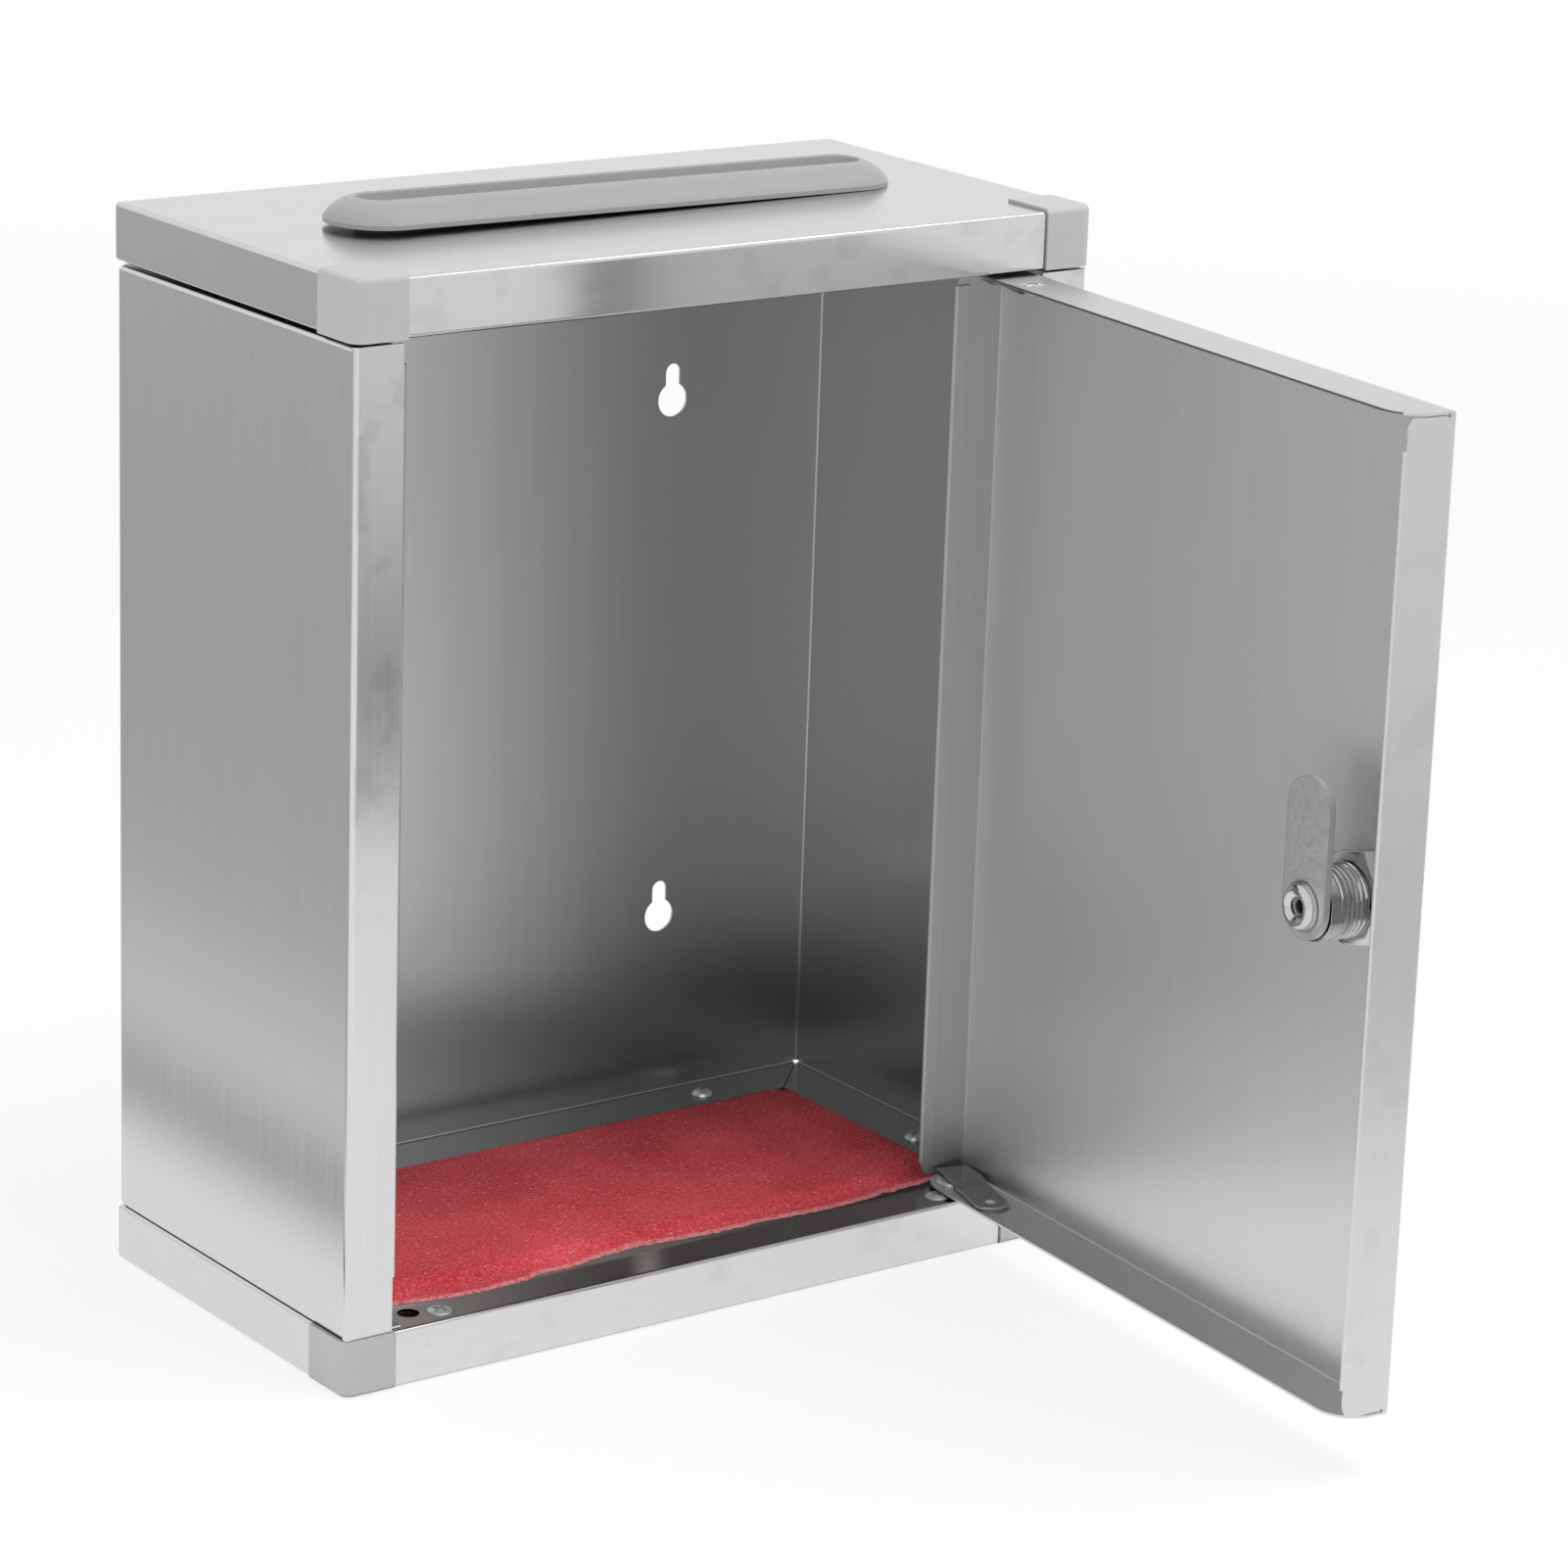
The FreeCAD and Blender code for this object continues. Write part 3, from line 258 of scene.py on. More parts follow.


# plated metals: zinc plate is dull and mottled, nickel and chrome are bright, brass is stamped and yellow; the edges
# carry a painted highlight, or painted shade on the zinc, and threads and recesses get painted shade
platedLooks = {
    "zincPlate": {"colour": "#e4e4e4", "darker": "#d6d6d6", "metal": 1.0, "roughness": 0.46, "spread": 0.12,
                  "mottleMm": 1.6, "edge": "#6e6e6e", "edgeMm": 0.3},
    "brightZincPlate": {"colour": "#f0f1f2", "darker": "#dedfe0", "metal": 0.72, "roughness": 0.36, "spread": 0.12,
                        "mottleMm": 1.2, "edge": "#f2f2f2", "edgeMm": 0.1},
    "polishedZincPlate": {"colour": "#8a8a89", "darker": "#80807f", "metal": 1.0, "roughness": 0.14, "spread": 0.05,
                          "mottleMm": 3.0, "edge": "#f4f4f3", "edgeMm": 0.35},
    "brightNickel": {"colour": "#d4d4d3", "darker": "#c8c8c7", "metal": 1.0, "roughness": 0.16, "spread": 0.05,
                     "mottleMm": 3.0, "edge": "#e8e8e7", "edgeMm": 0.2, "socketMm": (1.8, 2.3), "socketDark": 0.05},
    "satinNickel": {"colour": "#d2d2d1", "darker": "#c4c4c3", "metal": 1.0, "roughness": 0.18, "spread": 0.08,
                    "mottleMm": 3.0, "edge": "#e8e8e7", "edgeMm": 0.1},
    "stampedBrass": {"colour": "#d8b765", "darker": "#b8974a", "metal": 1.0, "roughness": 0.28, "spread": 0.1,
                     "mottleMm": 1.5, "edge": "#e6c983", "edgeMm": 0.1},
}
platedPattern = {"hollowMm": 1.2, "hollow": (0.3, 0.85), "hollowDark": 0.12, "paintedEdge": (0.98, 0.85),
                 "roughened": (0.3, 0.7), "bump": 0.06, "depthMm": 0.05}


def platedMetal(name, look, pattern):
    material, tree = newMaterial(name)
    place = addNode(tree, "TexCoord").outputs["Object"]
    mottle = addNode(tree, "TexNoise", {"Vector": place, "Scale": 1 / (look["mottleMm"] * mm), "Detail": 5})
    plain = addNode(tree, "Mix", {"Factor": mottle, "A": look["darker"], "B": look["colour"]}, data_type="RGBA")
    # painted shade in threads, recesses and where parts meet
    hollow = addNode(tree, "AmbientOcclusion", {"Distance": pattern["hollowMm"] * mm}, samples=hollowSamples)
    shade = addNode(tree, "MapRange", {"Value": hollow.outputs["AO"], "From": pattern["hollow"],
                                       "To": (pattern["hollowDark"], 1.0)})
    if "socketMm" in look:
        # painted shade in the driver's socket in the middle of the cam screw
        away = addNode(tree, "VectorMath", {0: place, 1: lockSpot}, operation="SUBTRACT")
        aside = addNode(tree, "VectorMath", {0: away, 1: lockAxis}, operation="CROSS_PRODUCT")
        reach = addNode(tree, "VectorMath", {0: aside}, operation="LENGTH")
        well = addNode(tree, "MapRange", {"Value": reach, "From": [radius * mm for radius in look["socketMm"]],
                                          "To": (look["socketDark"], 1.0)})
        shade = addNode(tree, "Math", {0: shade, 1: well}, operation="MULTIPLY")
    dark = addNode(tree, "VectorMath", {0: plain, "Scale": shade}, operation="SCALE")
    # where the bevelled normal turns at an edge, the edge colour is a painted highlight, or painted shade on the zinc
    edge = addNode(tree, "Bevel", {"Radius": look["edgeMm"] * mm}, samples=edgeSamples)
    facing = addNode(tree, "NewGeometry").outputs["Normal"]
    turned = addNode(tree, "VectorMath", {0: edge, 1: facing}, operation="DOT_PRODUCT")
    paintedEdge = addNode(tree, "MapRange", {"Value": turned, "From": pattern["paintedEdge"]})
    colour = addNode(tree, "Mix", {"Factor": paintedEdge, "A": dark, "B": look["edge"]}, data_type="RGBA")
    smoothest, roughest = look["roughness"] - look["spread"] / 2, look["roughness"] + look["spread"] / 2
    rough = addNode(tree, "MapRange", {"Value": mottle, "From": pattern["roughened"], "To": (roughest, smoothest)})
    bump = addNode(tree, "Bump", {"Height": mottle, "Strength": pattern["bump"], "Distance": pattern["depthMm"] * mm,
                                  "Normal": edge})
    shader = addNode(tree, "BsdfPrincipled", {"Base Color": colour, "Metallic": look["metal"], "Roughness": rough,
                                              "Normal": bump})
    addNode(tree, "OutputMaterial", {"Surface": shader})
    return material


# closed-cell polyethylene foam: matt red granules, with cell skins that catch the light as pale specks and a paler
# torn rim
foamLook = {"colour": "#ff636b", "darker": "#cc343d", "pale": "#ffbcc0", "rim": "#f0979b", "cellMm": 1.1,
            "granuleMm": 1.0, "cloudMm": 24, "cloudWeight": 0.5, "toned": (0.55, 0.95), "torn": (0.2, 0.6),
            "specks": (0.78, 1.0), "speckReach": (0.42, 0.15), "rear": 0.74, "rearShadeSpan": (-0.02, 0.04),
            "roughness": 0.6, "speckRoughness": 0.3, "bump": 1.0, "depthMm": 0.4, "ior": 1.48, "specular": 0.35,
            "sheen": 0.05}


def cellFoam(name, look):
    material, tree = newMaterial(name)
    place = addNode(tree, "TexCoord").outputs["Object"]
    cells = addNode(tree, "TexVoronoi", {"Vector": place, "Scale": 1 / (look["cellMm"] * mm)})
    fine = addNode(tree, "TexNoise", {"Vector": place, "Scale": 1 / (look["granuleMm"] * mm), "Detail": 2})
    cloud = addNode(tree, "TexNoise", {"Vector": place, "Scale": 1 / (look["cloudMm"] * mm), "Detail": 3})
    shade = addNode(tree, "Math", {0: cloud, 1: look["cloudWeight"], 2: fine}, operation="MULTIPLY_ADD")
    tone = addNode(tree, "MapRange", {"Value": shade, "From": look["toned"]})
    body = addNode(tree, "Mix", {"Factor": tone, "A": look["darker"], "B": look["colour"]}, data_type="RGBA")
    # painted shade, darker towards the back
    spot = addNode(tree, "SeparateXYZ", {0: place})
    rearShade = addNode(tree, "MapRange", {"Value": spot.outputs[1], "From": look["rearShadeSpan"], "To": (1.0, look["rear"])})
    rearShaded = addNode(tree, "VectorMath", {0: body, "Scale": rearShade}, operation="SCALE")
    torn = addNode(tree, "Attribute", attribute_name="rim")
    ragged = addNode(tree, "Math", {0: torn.outputs["Fac"], 1: fine}, operation="MULTIPLY")
    rimShare = addNode(tree, "MapRange", {"Value": ragged, "From": look["torn"]})
    edged = addNode(tree, "Mix", {"Factor": rimShare, "A": rearShaded, "B": look["rim"]}, data_type="RGBA")
    # one cell in a few is a pale speck, a painted highlight of a cell skin that catches the light
    pick = addNode(tree, "SeparateColor", {"Color": cells.outputs["Color"]})
    chosen = addNode(tree, "MapRange", {"Value": pick, "From": look["specks"]})
    middle = addNode(tree, "MapRange", {"Value": cells, "From": look["speckReach"]})
    speck = addNode(tree, "Math", {0: chosen, 1: middle}, operation="MULTIPLY")
    colour = addNode(tree, "Mix", {"Factor": speck, "A": edged, "B": look["pale"]}, data_type="RGBA")
    rough = addNode(tree, "MapRange", {"Value": speck, "To": (look["roughness"], look["speckRoughness"])})
    lump = addNode(tree, "Math", {0: fine, 1: cells}, operation="SUBTRACT")
    bump = addNode(tree, "Bump", {"Height": lump, "Strength": look["bump"], "Distance": look["depthMm"] * mm})
    shader = addNode(tree, "BsdfPrincipled", {"Base Color": colour, "IOR": look["ior"], "Roughness": rough,
                                              "Normal": bump, "Specular IOR Level": look["specular"],
                                              "Sheen Weight": look["sheen"]})
    addNode(tree, "OutputMaterial", {"Surface": shader})
    return material


steel = {name: brushedStainless(name, look, steelPattern) for name, look in steelLooks.items()}
plastic = {name: mouldedAbs(name, look, absPattern) for name, look in absLooks.items()}
plated = {name: platedMetal(name, look, platedPattern) for name, look in platedLooks.items()}
redFoam = cellFoam("redCellFoam", foamLook)

nodeFinishes = (
    (steel["brushedStainlessTray"], ("base_tray", "top_tray")),
    (steel["brushedStainlessBody"], ("body_shell",)),
    (steel["brushedStainlessDoor"], ("door_panel",)),
    (plastic["mouldedGreyAbs"], ("base_cap_left", "base_cap_right", "top_cap_left", "top_cap_right")),
    (plastic["mouldedDarkerAbs"], ("slot_bezel",)),
    (plated["zincPlate"], ("lock_cam",)),
    (plated["brightZincPlate"], ("cap_screws", "flange_screws", "hinge_pin_bottom", "hinge_pin_top", "hinge_rivets")),
    (plated["polishedZincPlate"], ("hinge_plate_bottom", "hinge_plate_top")),
    (plated["brightNickel"], ("cam_screw",)),
    (plated["satinNickel"], ("lock_housing", "lock_nut", "lock_plug")),
    (plated["stampedBrass"], ("lock_wafers",)),
    (redFoam, ("foam_mat",)),
)
for finish, names in nodeFinishes:
    for name in names:
        slots = nodes[name].data.materials
        slots.clear()
        slots.append(finish)
print("materials on", sum(len(names) for finish, names in nodeFinishes), "nodes")


def newTree(name, sizes):
    tree = bpy.data.node_groups.new(name, "GeometryNodeTree")
    tree.interface.new_socket("Geometry", in_out="INPUT", socket_type="NodeSocketGeometry")
    for size in sizes:
        tree.interface.new_socket(size, in_out="INPUT", socket_type="NodeSocketFloat")
    tree.interface.new_socket("finish", in_out="INPUT", socket_type="NodeSocketMaterial")
    tree.interface.new_socket("Geometry", in_out="OUTPUT", socket_type="NodeSocketGeometry")
    return tree, tree.nodes.new("NodeGroupInput").outputs


hardAngle = 0.6
mergeMm = 0.01


def closeTree(tree, shape, finish):
    # hard edges stay crisp, the rest is shaded smooth
    angle = addNode(tree, "InputMeshEdgeAngle")
    hard = addNode(tree, "FunctionNodeCompare", {0: angle, 1: hardAngle}, operation="GREATER_THAN")
    smooth = addNode(tree, "SetShadeSmooth", {"Geometry": shape, "Shade Smooth": True})
    crisp = addNode(tree, "SetShadeSmooth", {"Geometry": smooth, "Selection": hard, "Shade Smooth": False},
                    domain="EDGE")
    real = addNode(tree, "RealizeInstances", {0: crisp})
    painted = addNode(tree, "SetMaterial", {"Geometry": real, "Material": finish})
    addNode(tree, "NodeGroupOutput", {0: painted})


def closeRows(tree, given, whole):
    # one at each spot, turned by the spot's own attribute
    turn = addNode(tree, "InputNamedAttribute", {"Name": "turn"}, data_type="FLOAT_VECTOR")
    spin = addNode(tree, "FunctionNodeEulerToRotation", {0: turn})
    rows = addNode(tree, "InstanceOnPoints", {"Points": given["Geometry"], "Instance": whole, "Rotation": spin})
    closeTree(tree, rows, given["finish"])


def growPiece(name, tree, values, spots, turns=None, place=None):
    mesh = bpy.data.meshes.new(name)
    mesh.from_pydata([Vector(s) * mm for s in spots], [], [])
    turned = mesh.attributes.new("turn", "FLOAT_VECTOR", "POINT")
    for item, turn in zip(turned.data, turns or [(0, 0, 0)] * len(spots)):
        item.vector = turn
    piece = bpy.data.objects.new(name, mesh)
    scene.collection.objects.link(piece)
    grow = piece.modifiers.new("grow", "NODES")
    grow.node_group = tree
    for socket in tree.interface.items_tree:
        if socket.in_out == "INPUT" and socket.name in values:
            grow[socket.identifier] = values[socket.name]
    grown = bpy.data.meshes.new_from_object(piece.evaluated_get(bpy.context.evaluated_depsgraph_get()))
    piece.modifiers.remove(grow)
    piece.data = grown
    if place:
        grown.transform(place)
    print(name, len(grown.polygons), "faces")
    return piece


# box that cuts a ball's lower half away, in the ball's heights and radii
lowerBox = {"drop": -2.02, "wide": 3.0, "tall": 4.0}


def domedHead(tree, radius, height, segments, cutters):
    # upper half of a flattened ball, less the cutters
    oval = addNode(tree, "ShaderNodeCombineXYZ", {0: radius, 1: radius, 2: height})
    ball = addNode(tree, "MeshUVSphere", {"Segments": segments, "Rings": segments // 2, "Radius": 1.0})
    dome = addNode(tree, "Transform", {"Geometry": ball, "Scale": oval})
    below = addNode(tree, "ShaderNodeMath", {0: height, 1: lowerBox["drop"]}, operation="MULTIPLY")
    wide = addNode(tree, "ShaderNodeMath", {0: radius, 1: lowerBox["wide"]}, operation="MULTIPLY")
    tall = addNode(tree, "ShaderNodeMath", {0: height, 1: lowerBox["tall"]}, operation="MULTIPLY")
    boxSize = addNode(tree, "ShaderNodeCombineXYZ", {0: wide, 1: wide, 2: tall})
    boxSpot = addNode(tree, "ShaderNodeCombineXYZ", {2: below})
    box = addNode(tree, "MeshCube", {"Size": boxSize})
    lowerHalf = addNode(tree, "Transform", {"Geometry": box, "Translation": boxSpot})
    return addNode(tree, "MeshBoolean", {"Mesh 1": dome, "Mesh 2": [lowerHalf] + cutters}, operation="DIFFERENCE")


# cross-head screws, seen from inside: flat heads in the trays, pan heads on the body's flanges
screwSizes = ("headRadius", "crown", "sink", "shankRadius", "shankLength", "recessLength", "recessWidth", "recessDepth")
flatScrew = {"headRadius": 3.5, "crown": 0.8, "sink": 2.0, "shankRadius": 1.5, "shankLength": 9.0, "recessLength": 4.2,
             "recessWidth": 1.1, "recessDepth": 0.45, "x": 84.0, "y": -53.9, "low": 16.0, "high": 284.0}
panScrew = {"headRadius": 3.2, "crown": 1.9, "sink": 0.02, "shankRadius": 1.5, "shankLength": 9.0, "recessLength": 3.6,
            "recessWidth": 0.95, "recessDepth": 0.75, "sideX": 106.3, "sideY": -14.0, "backX": 74.5, "backY": 49.45,
            "low": 16.8, "high": 282.4}
# each part of a screw reaches a little into the next, so that they join to one body
screwOverlap = {"rim": 0.97, "core": 0.93, "coneMm": 0.1, "shankMm": 0.04}


def crossHeadTree(overlap):
    tree, given = newTree("crossHeadScrew", screwSizes)
    deep = addNode(tree, "ShaderNodeMath", {0: given["recessDepth"], 1: 2.0}, operation="MULTIPLY")
    armSize = addNode(tree, "ShaderNodeCombineXYZ", {0: given["recessLength"], 1: given["recessWidth"], 2: deep})
    armSpot = addNode(tree, "ShaderNodeCombineXYZ", {2: given["crown"]})
    arms = []
    for turn in (0, math.pi / 2):
        box = addNode(tree, "MeshCube", {"Size": armSize})
        arms.append(addNode(tree, "Transform", {"Geometry": box, "Translation": armSpot, "Rotation": (0, 0, turn)}))
    head = domedHead(tree, given["headRadius"], given["crown"], 36, arms)
    rim = addNode(tree, "ShaderNodeMath", {0: given["headRadius"], 1: overlap["rim"]}, operation="MULTIPLY")
    core = addNode(tree, "ShaderNodeMath", {0: given["shankRadius"], 1: overlap["core"]}, operation="MULTIPLY")
    cone = addNode(tree, "MeshCone", {"Vertices": 36, "Radius Top": rim, "Radius Bottom": core, "Depth": given["sink"]})
    coneDown = addNode(tree, "ShaderNodeMath", {0: given["sink"], 1: -1.0, 2: overlap["coneMm"] * mm},
                       operation="MULTIPLY_ADD")
    coneSpot = addNode(tree, "ShaderNodeCombineXYZ", {2: coneDown})
    sunk = addNode(tree, "Transform", {"Geometry": cone, "Translation": coneSpot})
    bar = addNode(tree, "MeshCylinder", {"Vertices": 24, "Radius": given["shankRadius"], "Depth": given["shankLength"]})
    barDown = addNode(tree, "ShaderNodeMath", {0: given["shankLength"], 1: -0.5, 2: overlap["shankMm"] * mm},
                      operation="MULTIPLY_ADD")
    barSpot = addNode(tree, "ShaderNodeCombineXYZ", {2: barDown})
    shank = addNode(tree, "Transform", {"Geometry": bar, "Translation": barSpot})
    joined = addNode(tree, "MeshBoolean", {"Mesh 2": [head, sunk, shank]}, operation="UNION", solver="EXACT")
    whole = addNode(tree, "MergeByDistance", {"Geometry": joined, "Distance": mergeMm * mm})
    closeRows(tree, given, whole)
    return tree


screwTree = crossHeadTree(screwOverlap)
turnDraw = random.Random(7)


def makeScrews(name, replaced, screw, lowSpots):
    spots = [(x, y, z) for z in (screw["low"], screw["high"]) for x, y in lowSpots]
    turns = [(0 if z == screw["low"] else math.pi, 0, turnDraw.uniform(0, math.pi / 2)) for x, y, z in spots]
    values = {key: screw[key] * mm for key in screwSizes}
    values["finish"] = plated["brightZincPlate"]
    piece = growPiece(name, screwTree, values, spots, turns)
    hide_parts(replaced)
    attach(piece, "case")


makeScrews("capScrews", "cap_screws", flatScrew, [(side * flatScrew["x"], flatScrew["y"]) for side in (-1, 1)])
makeScrews("flangeScrews", "flange_screws", panScrew,
           [(side * panScrew["sideX"], panScrew["sideY"]) for side in (-1, 1)]
           + [(side * panScrew["backX"], panScrew["backY"]) for side in (-1, 1)])

# rivets of the hinge plates: a low dished head inside, a split tail splayed into a star outside
rivetSizes = ("headRadius", "headHeight", "grip", "shankRadius", "petalLength", "petalWidth", "petalRise")
hingeRivet = {"headRadius": 2.0, "headHeight": 1.2, "grip": 1.9, "shankRadius": 1.5, "petalLength": 2.3,
              "petalWidth": 0.75, "petalRise": 0.42, "petalTip": 0.08, "petals": 6, "dishRadius": 1.0, "dishLift": 0.6,
              "x": 89.407, "y": -71.662, "low": 18.9, "high": 281.1, "turns": ((0, 0, 0.2), (math.pi, 0, 0.35))}


def splayedRivetTree(rivet):
    tree, given = newTree("splayedRivet", rivetSizes)
    # the head's middle is dished where the tool pressed it
    ball = addNode(tree, "MeshUVSphere", {"Segments": 24, "Rings": 12, "Radius": rivet["dishRadius"] * mm})
    above = addNode(tree, "ShaderNodeMath", {0: given["headHeight"], 1: rivet["dishLift"] * mm}, operation="ADD")
    dishSpot = addNode(tree, "ShaderNodeCombineXYZ", {2: above})
    dish = addNode(tree, "Transform", {"Geometry": ball, "Translation": dishSpot})
    dished = domedHead(tree, given["headRadius"], given["headHeight"], 32, [dish])
    head = addNode(tree, "MergeByDistance", {"Geometry": dished, "Distance": mergeMm * mm})
    bar = addNode(tree, "MeshCylinder", {"Vertices": 24, "Radius": given["shankRadius"], "Depth": given["grip"]})
    half = addNode(tree, "ShaderNodeMath", {0: given["grip"], 1: -0.5}, operation="MULTIPLY")
    barSpot = addNode(tree, "ShaderNodeCombineXYZ", {2: half})
    shank = addNode(tree, "Transform", {"Geometry": bar, "Translation": barSpot})
    # tongues of the split tail, bent outwards over the sheet
    ring = addNode(tree, "MeshCircle", {"Vertices": rivet["petals"], "Radius": given["shankRadius"]})
    tongue = addNode(tree, "MeshCone", {"Vertices": 16, "Side Segments": 6, "Radius Top": rivet["petalTip"] * mm,
                                        "Radius Bottom": given["petalWidth"], "Depth": given["petalLength"]})
    spread = addNode(tree, "InputPosition")
    outward = addNode(tree, "FunctionNodeAlignRotationToVector", {"Vector": spread}, axis="Z")
    petals = addNode(tree, "InstanceOnPoints", {"Points": ring, "Instance": tongue, "Rotation": outward})
    loose = addNode(tree, "RealizeInstances", {0: petals})
    flat = addNode(tree, "ShaderNodeMath", {0: given["petalRise"], 1: given["petalWidth"]}, operation="DIVIDE")
    flatScale = addNode(tree, "ShaderNodeCombineXYZ", {0: 1.0, 1: 1.0, 2: flat})
    tailDown = addNode(tree, "ShaderNodeMath", {0: given["grip"], 1: -1.0}, operation="MULTIPLY")
    tailSpot = addNode(tree, "ShaderNodeCombineXYZ", {2: tailDown})
    tail = addNode(tree, "Transform", {"Geometry": loose, "Scale": flatScale, "Translation": tailSpot})
    whole = addNode(tree, "JoinGeometry", {0: [head, shank, tail]})
    closeRows(tree, given, whole)
    return tree


rivetValues = {key: hingeRivet[key] * mm for key in rivetSizes}
rivetValues["finish"] = plated["brightZincPlate"]
rivetSpots = [(hingeRivet["x"], hingeRivet["y"], hingeRivet[end]) for end in ("low", "high")]
rivets = growPiece("hingeRivets", splayedRivetTree(hingeRivet), rivetValues, rivetSpots, hingeRivet["turns"])
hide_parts("hinge_rivets")
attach(rivets, "door")

# thread of the lock's barrel, between the nut and the smooth end, cut off by the barrel's two flats
barrelThread = {"radius": 9.42, "pitch": 1.5, "turns": 6.0, "ridge": 0.5, "acrossFlats": 18.6, "fromSkin": 5.2}
# the lock's own axes: across the door, up, and into the box
lockWay = Matrix((lockAxis.cross(Vector((0, 0, 1))), Vector((0, 0, 1)), -lockAxis)).transposed().to_4x4()


def barrelThreadTree():
    tree, given = newTree("barrelThread", ("radius", "pitch", "turns", "ridge", "acrossFlats"))
    radius = given["radius"]
    rise = addNode(tree, "ShaderNodeMath", {0: given["pitch"], 1: given["turns"]}, operation="MULTIPLY")
    line = addNode(tree, "CurveSpiral", {"Resolution": 72, "Rotations": given["turns"], "Start Radius": radius,
                                         "End Radius": radius, "Height": rise})
    edge = addNode(tree, "CurvePrimitiveCircle", {"Resolution": 6, "Radius": given["ridge"]})
    ridge = addNode(tree, "CurveToMesh", {"Curve": line, "Profile Curve": edge, "Fill Caps": True})
    tall = addNode(tree, "ShaderNodeMath", {0: radius, 1: 4.0}, operation="MULTIPLY")
    slabSize = addNode(tree, "ShaderNodeCombineXYZ", {0: given["acrossFlats"], 1: tall, 2: tall})
    slab = addNode(tree, "MeshCube", {"Size": slabSize})
    cut = addNode(tree, "MeshBoolean", {"Mesh 2": [ridge, slab]}, operation="INTERSECT")
    closeTree(tree, cut, given["finish"])
    return tree


threadValues = {key: barrelThread[key] * mm for key in ("radius", "pitch", "ridge", "acrossFlats")}
threadValues.update({"turns": barrelThread["turns"], "finish": plated["satinNickel"]})
threadPlace = Matrix.Translation(lockSpot - lockAxis * barrelThread["fromSkin"] * mm) @ lockWay
thread = growPiece("lockThread", barrelThreadTree(), threadValues, [(0, 0, 0)], place=threadPlace)
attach(thread, "door")

# the lock's nut, turned as it was tightened in the photograph
hexNut = {"acrossFlats": 24.0, "thickness": 4.6, "boreRadius": 9.55, "fromSkin": 0.72, "turn": 14, "crown": 0.49}


def hexNutTree(crownShare):
    tree, given = newTree("hexNut", ("acrossFlats", "thickness", "boreRadius"))
    flats, thick = given["acrossFlats"], given["thickness"]
    corner = addNode(tree, "ShaderNodeMath", {0: flats, 1: math.sqrt(3)}, operation="DIVIDE")
    prism = addNode(tree, "MeshCylinder", {"Vertices": 6, "Radius": corner, "Depth": thick})
    half = addNode(tree, "ShaderNodeMath", {0: thick, 1: 0.5}, operation="MULTIPLY")
    lift = addNode(tree, "ShaderNodeCombineXYZ", {2: half})
    raised = addNode(tree, "Transform", {"Geometry": prism, "Translation": lift})
    # corners turned off at 30 degrees
    crown = addNode(tree, "ShaderNodeMath", {0: flats, 1: crownShare}, operation="MULTIPLY")
    peak = addNode(tree, "ShaderNodeMath", {0: thick, 1: -0.5 * math.sqrt(3), 2: crown}, operation="MULTIPLY_ADD")
    foot = addNode(tree, "ShaderNodeMath", {0: thick, 1: 1.5 * math.sqrt(3), 2: crown}, operation="MULTIPLY_ADD")
    double = addNode(tree, "ShaderNodeMath", {0: thick, 1: 2.0}, operation="MULTIPLY")
    cone = addNode(tree, "MeshCone", {"Vertices": 64, "Radius Top": peak, "Radius Bottom": foot, "Depth": double})
    drop = addNode(tree, "ShaderNodeMath", {0: thick, 1: -0.5}, operation="MULTIPLY")
    sink = addNode(tree, "ShaderNodeCombineXYZ", {2: drop})
    turned = addNode(tree, "Transform", {"Geometry": cone, "Translation": sink})
    shaped = addNode(tree, "MeshBoolean", {"Mesh 2": [raised, turned]}, operation="INTERSECT")
    deep = addNode(tree, "ShaderNodeMath", {0: thick, 1: 3.0}, operation="MULTIPLY")
    drill = addNode(tree, "MeshCylinder", {"Vertices": 64, "Radius": given["boreRadius"], "Depth": deep})
    bored = addNode(tree, "MeshBoolean", {"Mesh 1": shaped, "Mesh 2": drill}, operation="DIFFERENCE")
    closeTree(tree, bored, given["finish"])
    return tree


nutValues = {key: hexNut[key] * mm for key in ("acrossFlats", "thickness", "boreRadius")}
nutValues["finish"] = plated["satinNickel"]
nutPlace = Matrix.Translation(lockSpot - lockAxis * hexNut["fromSkin"] * mm) @ lockWay
nutPlace = nutPlace @ Matrix.Rotation(math.radians(hexNut["turn"]), 4, "Z")
nut = growPiece("lockNut", hexNutTree(hexNut["crown"]), nutValues, [(0, 0, 0)], place=nutPlace)
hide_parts("lock_nut")
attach(nut, "door")

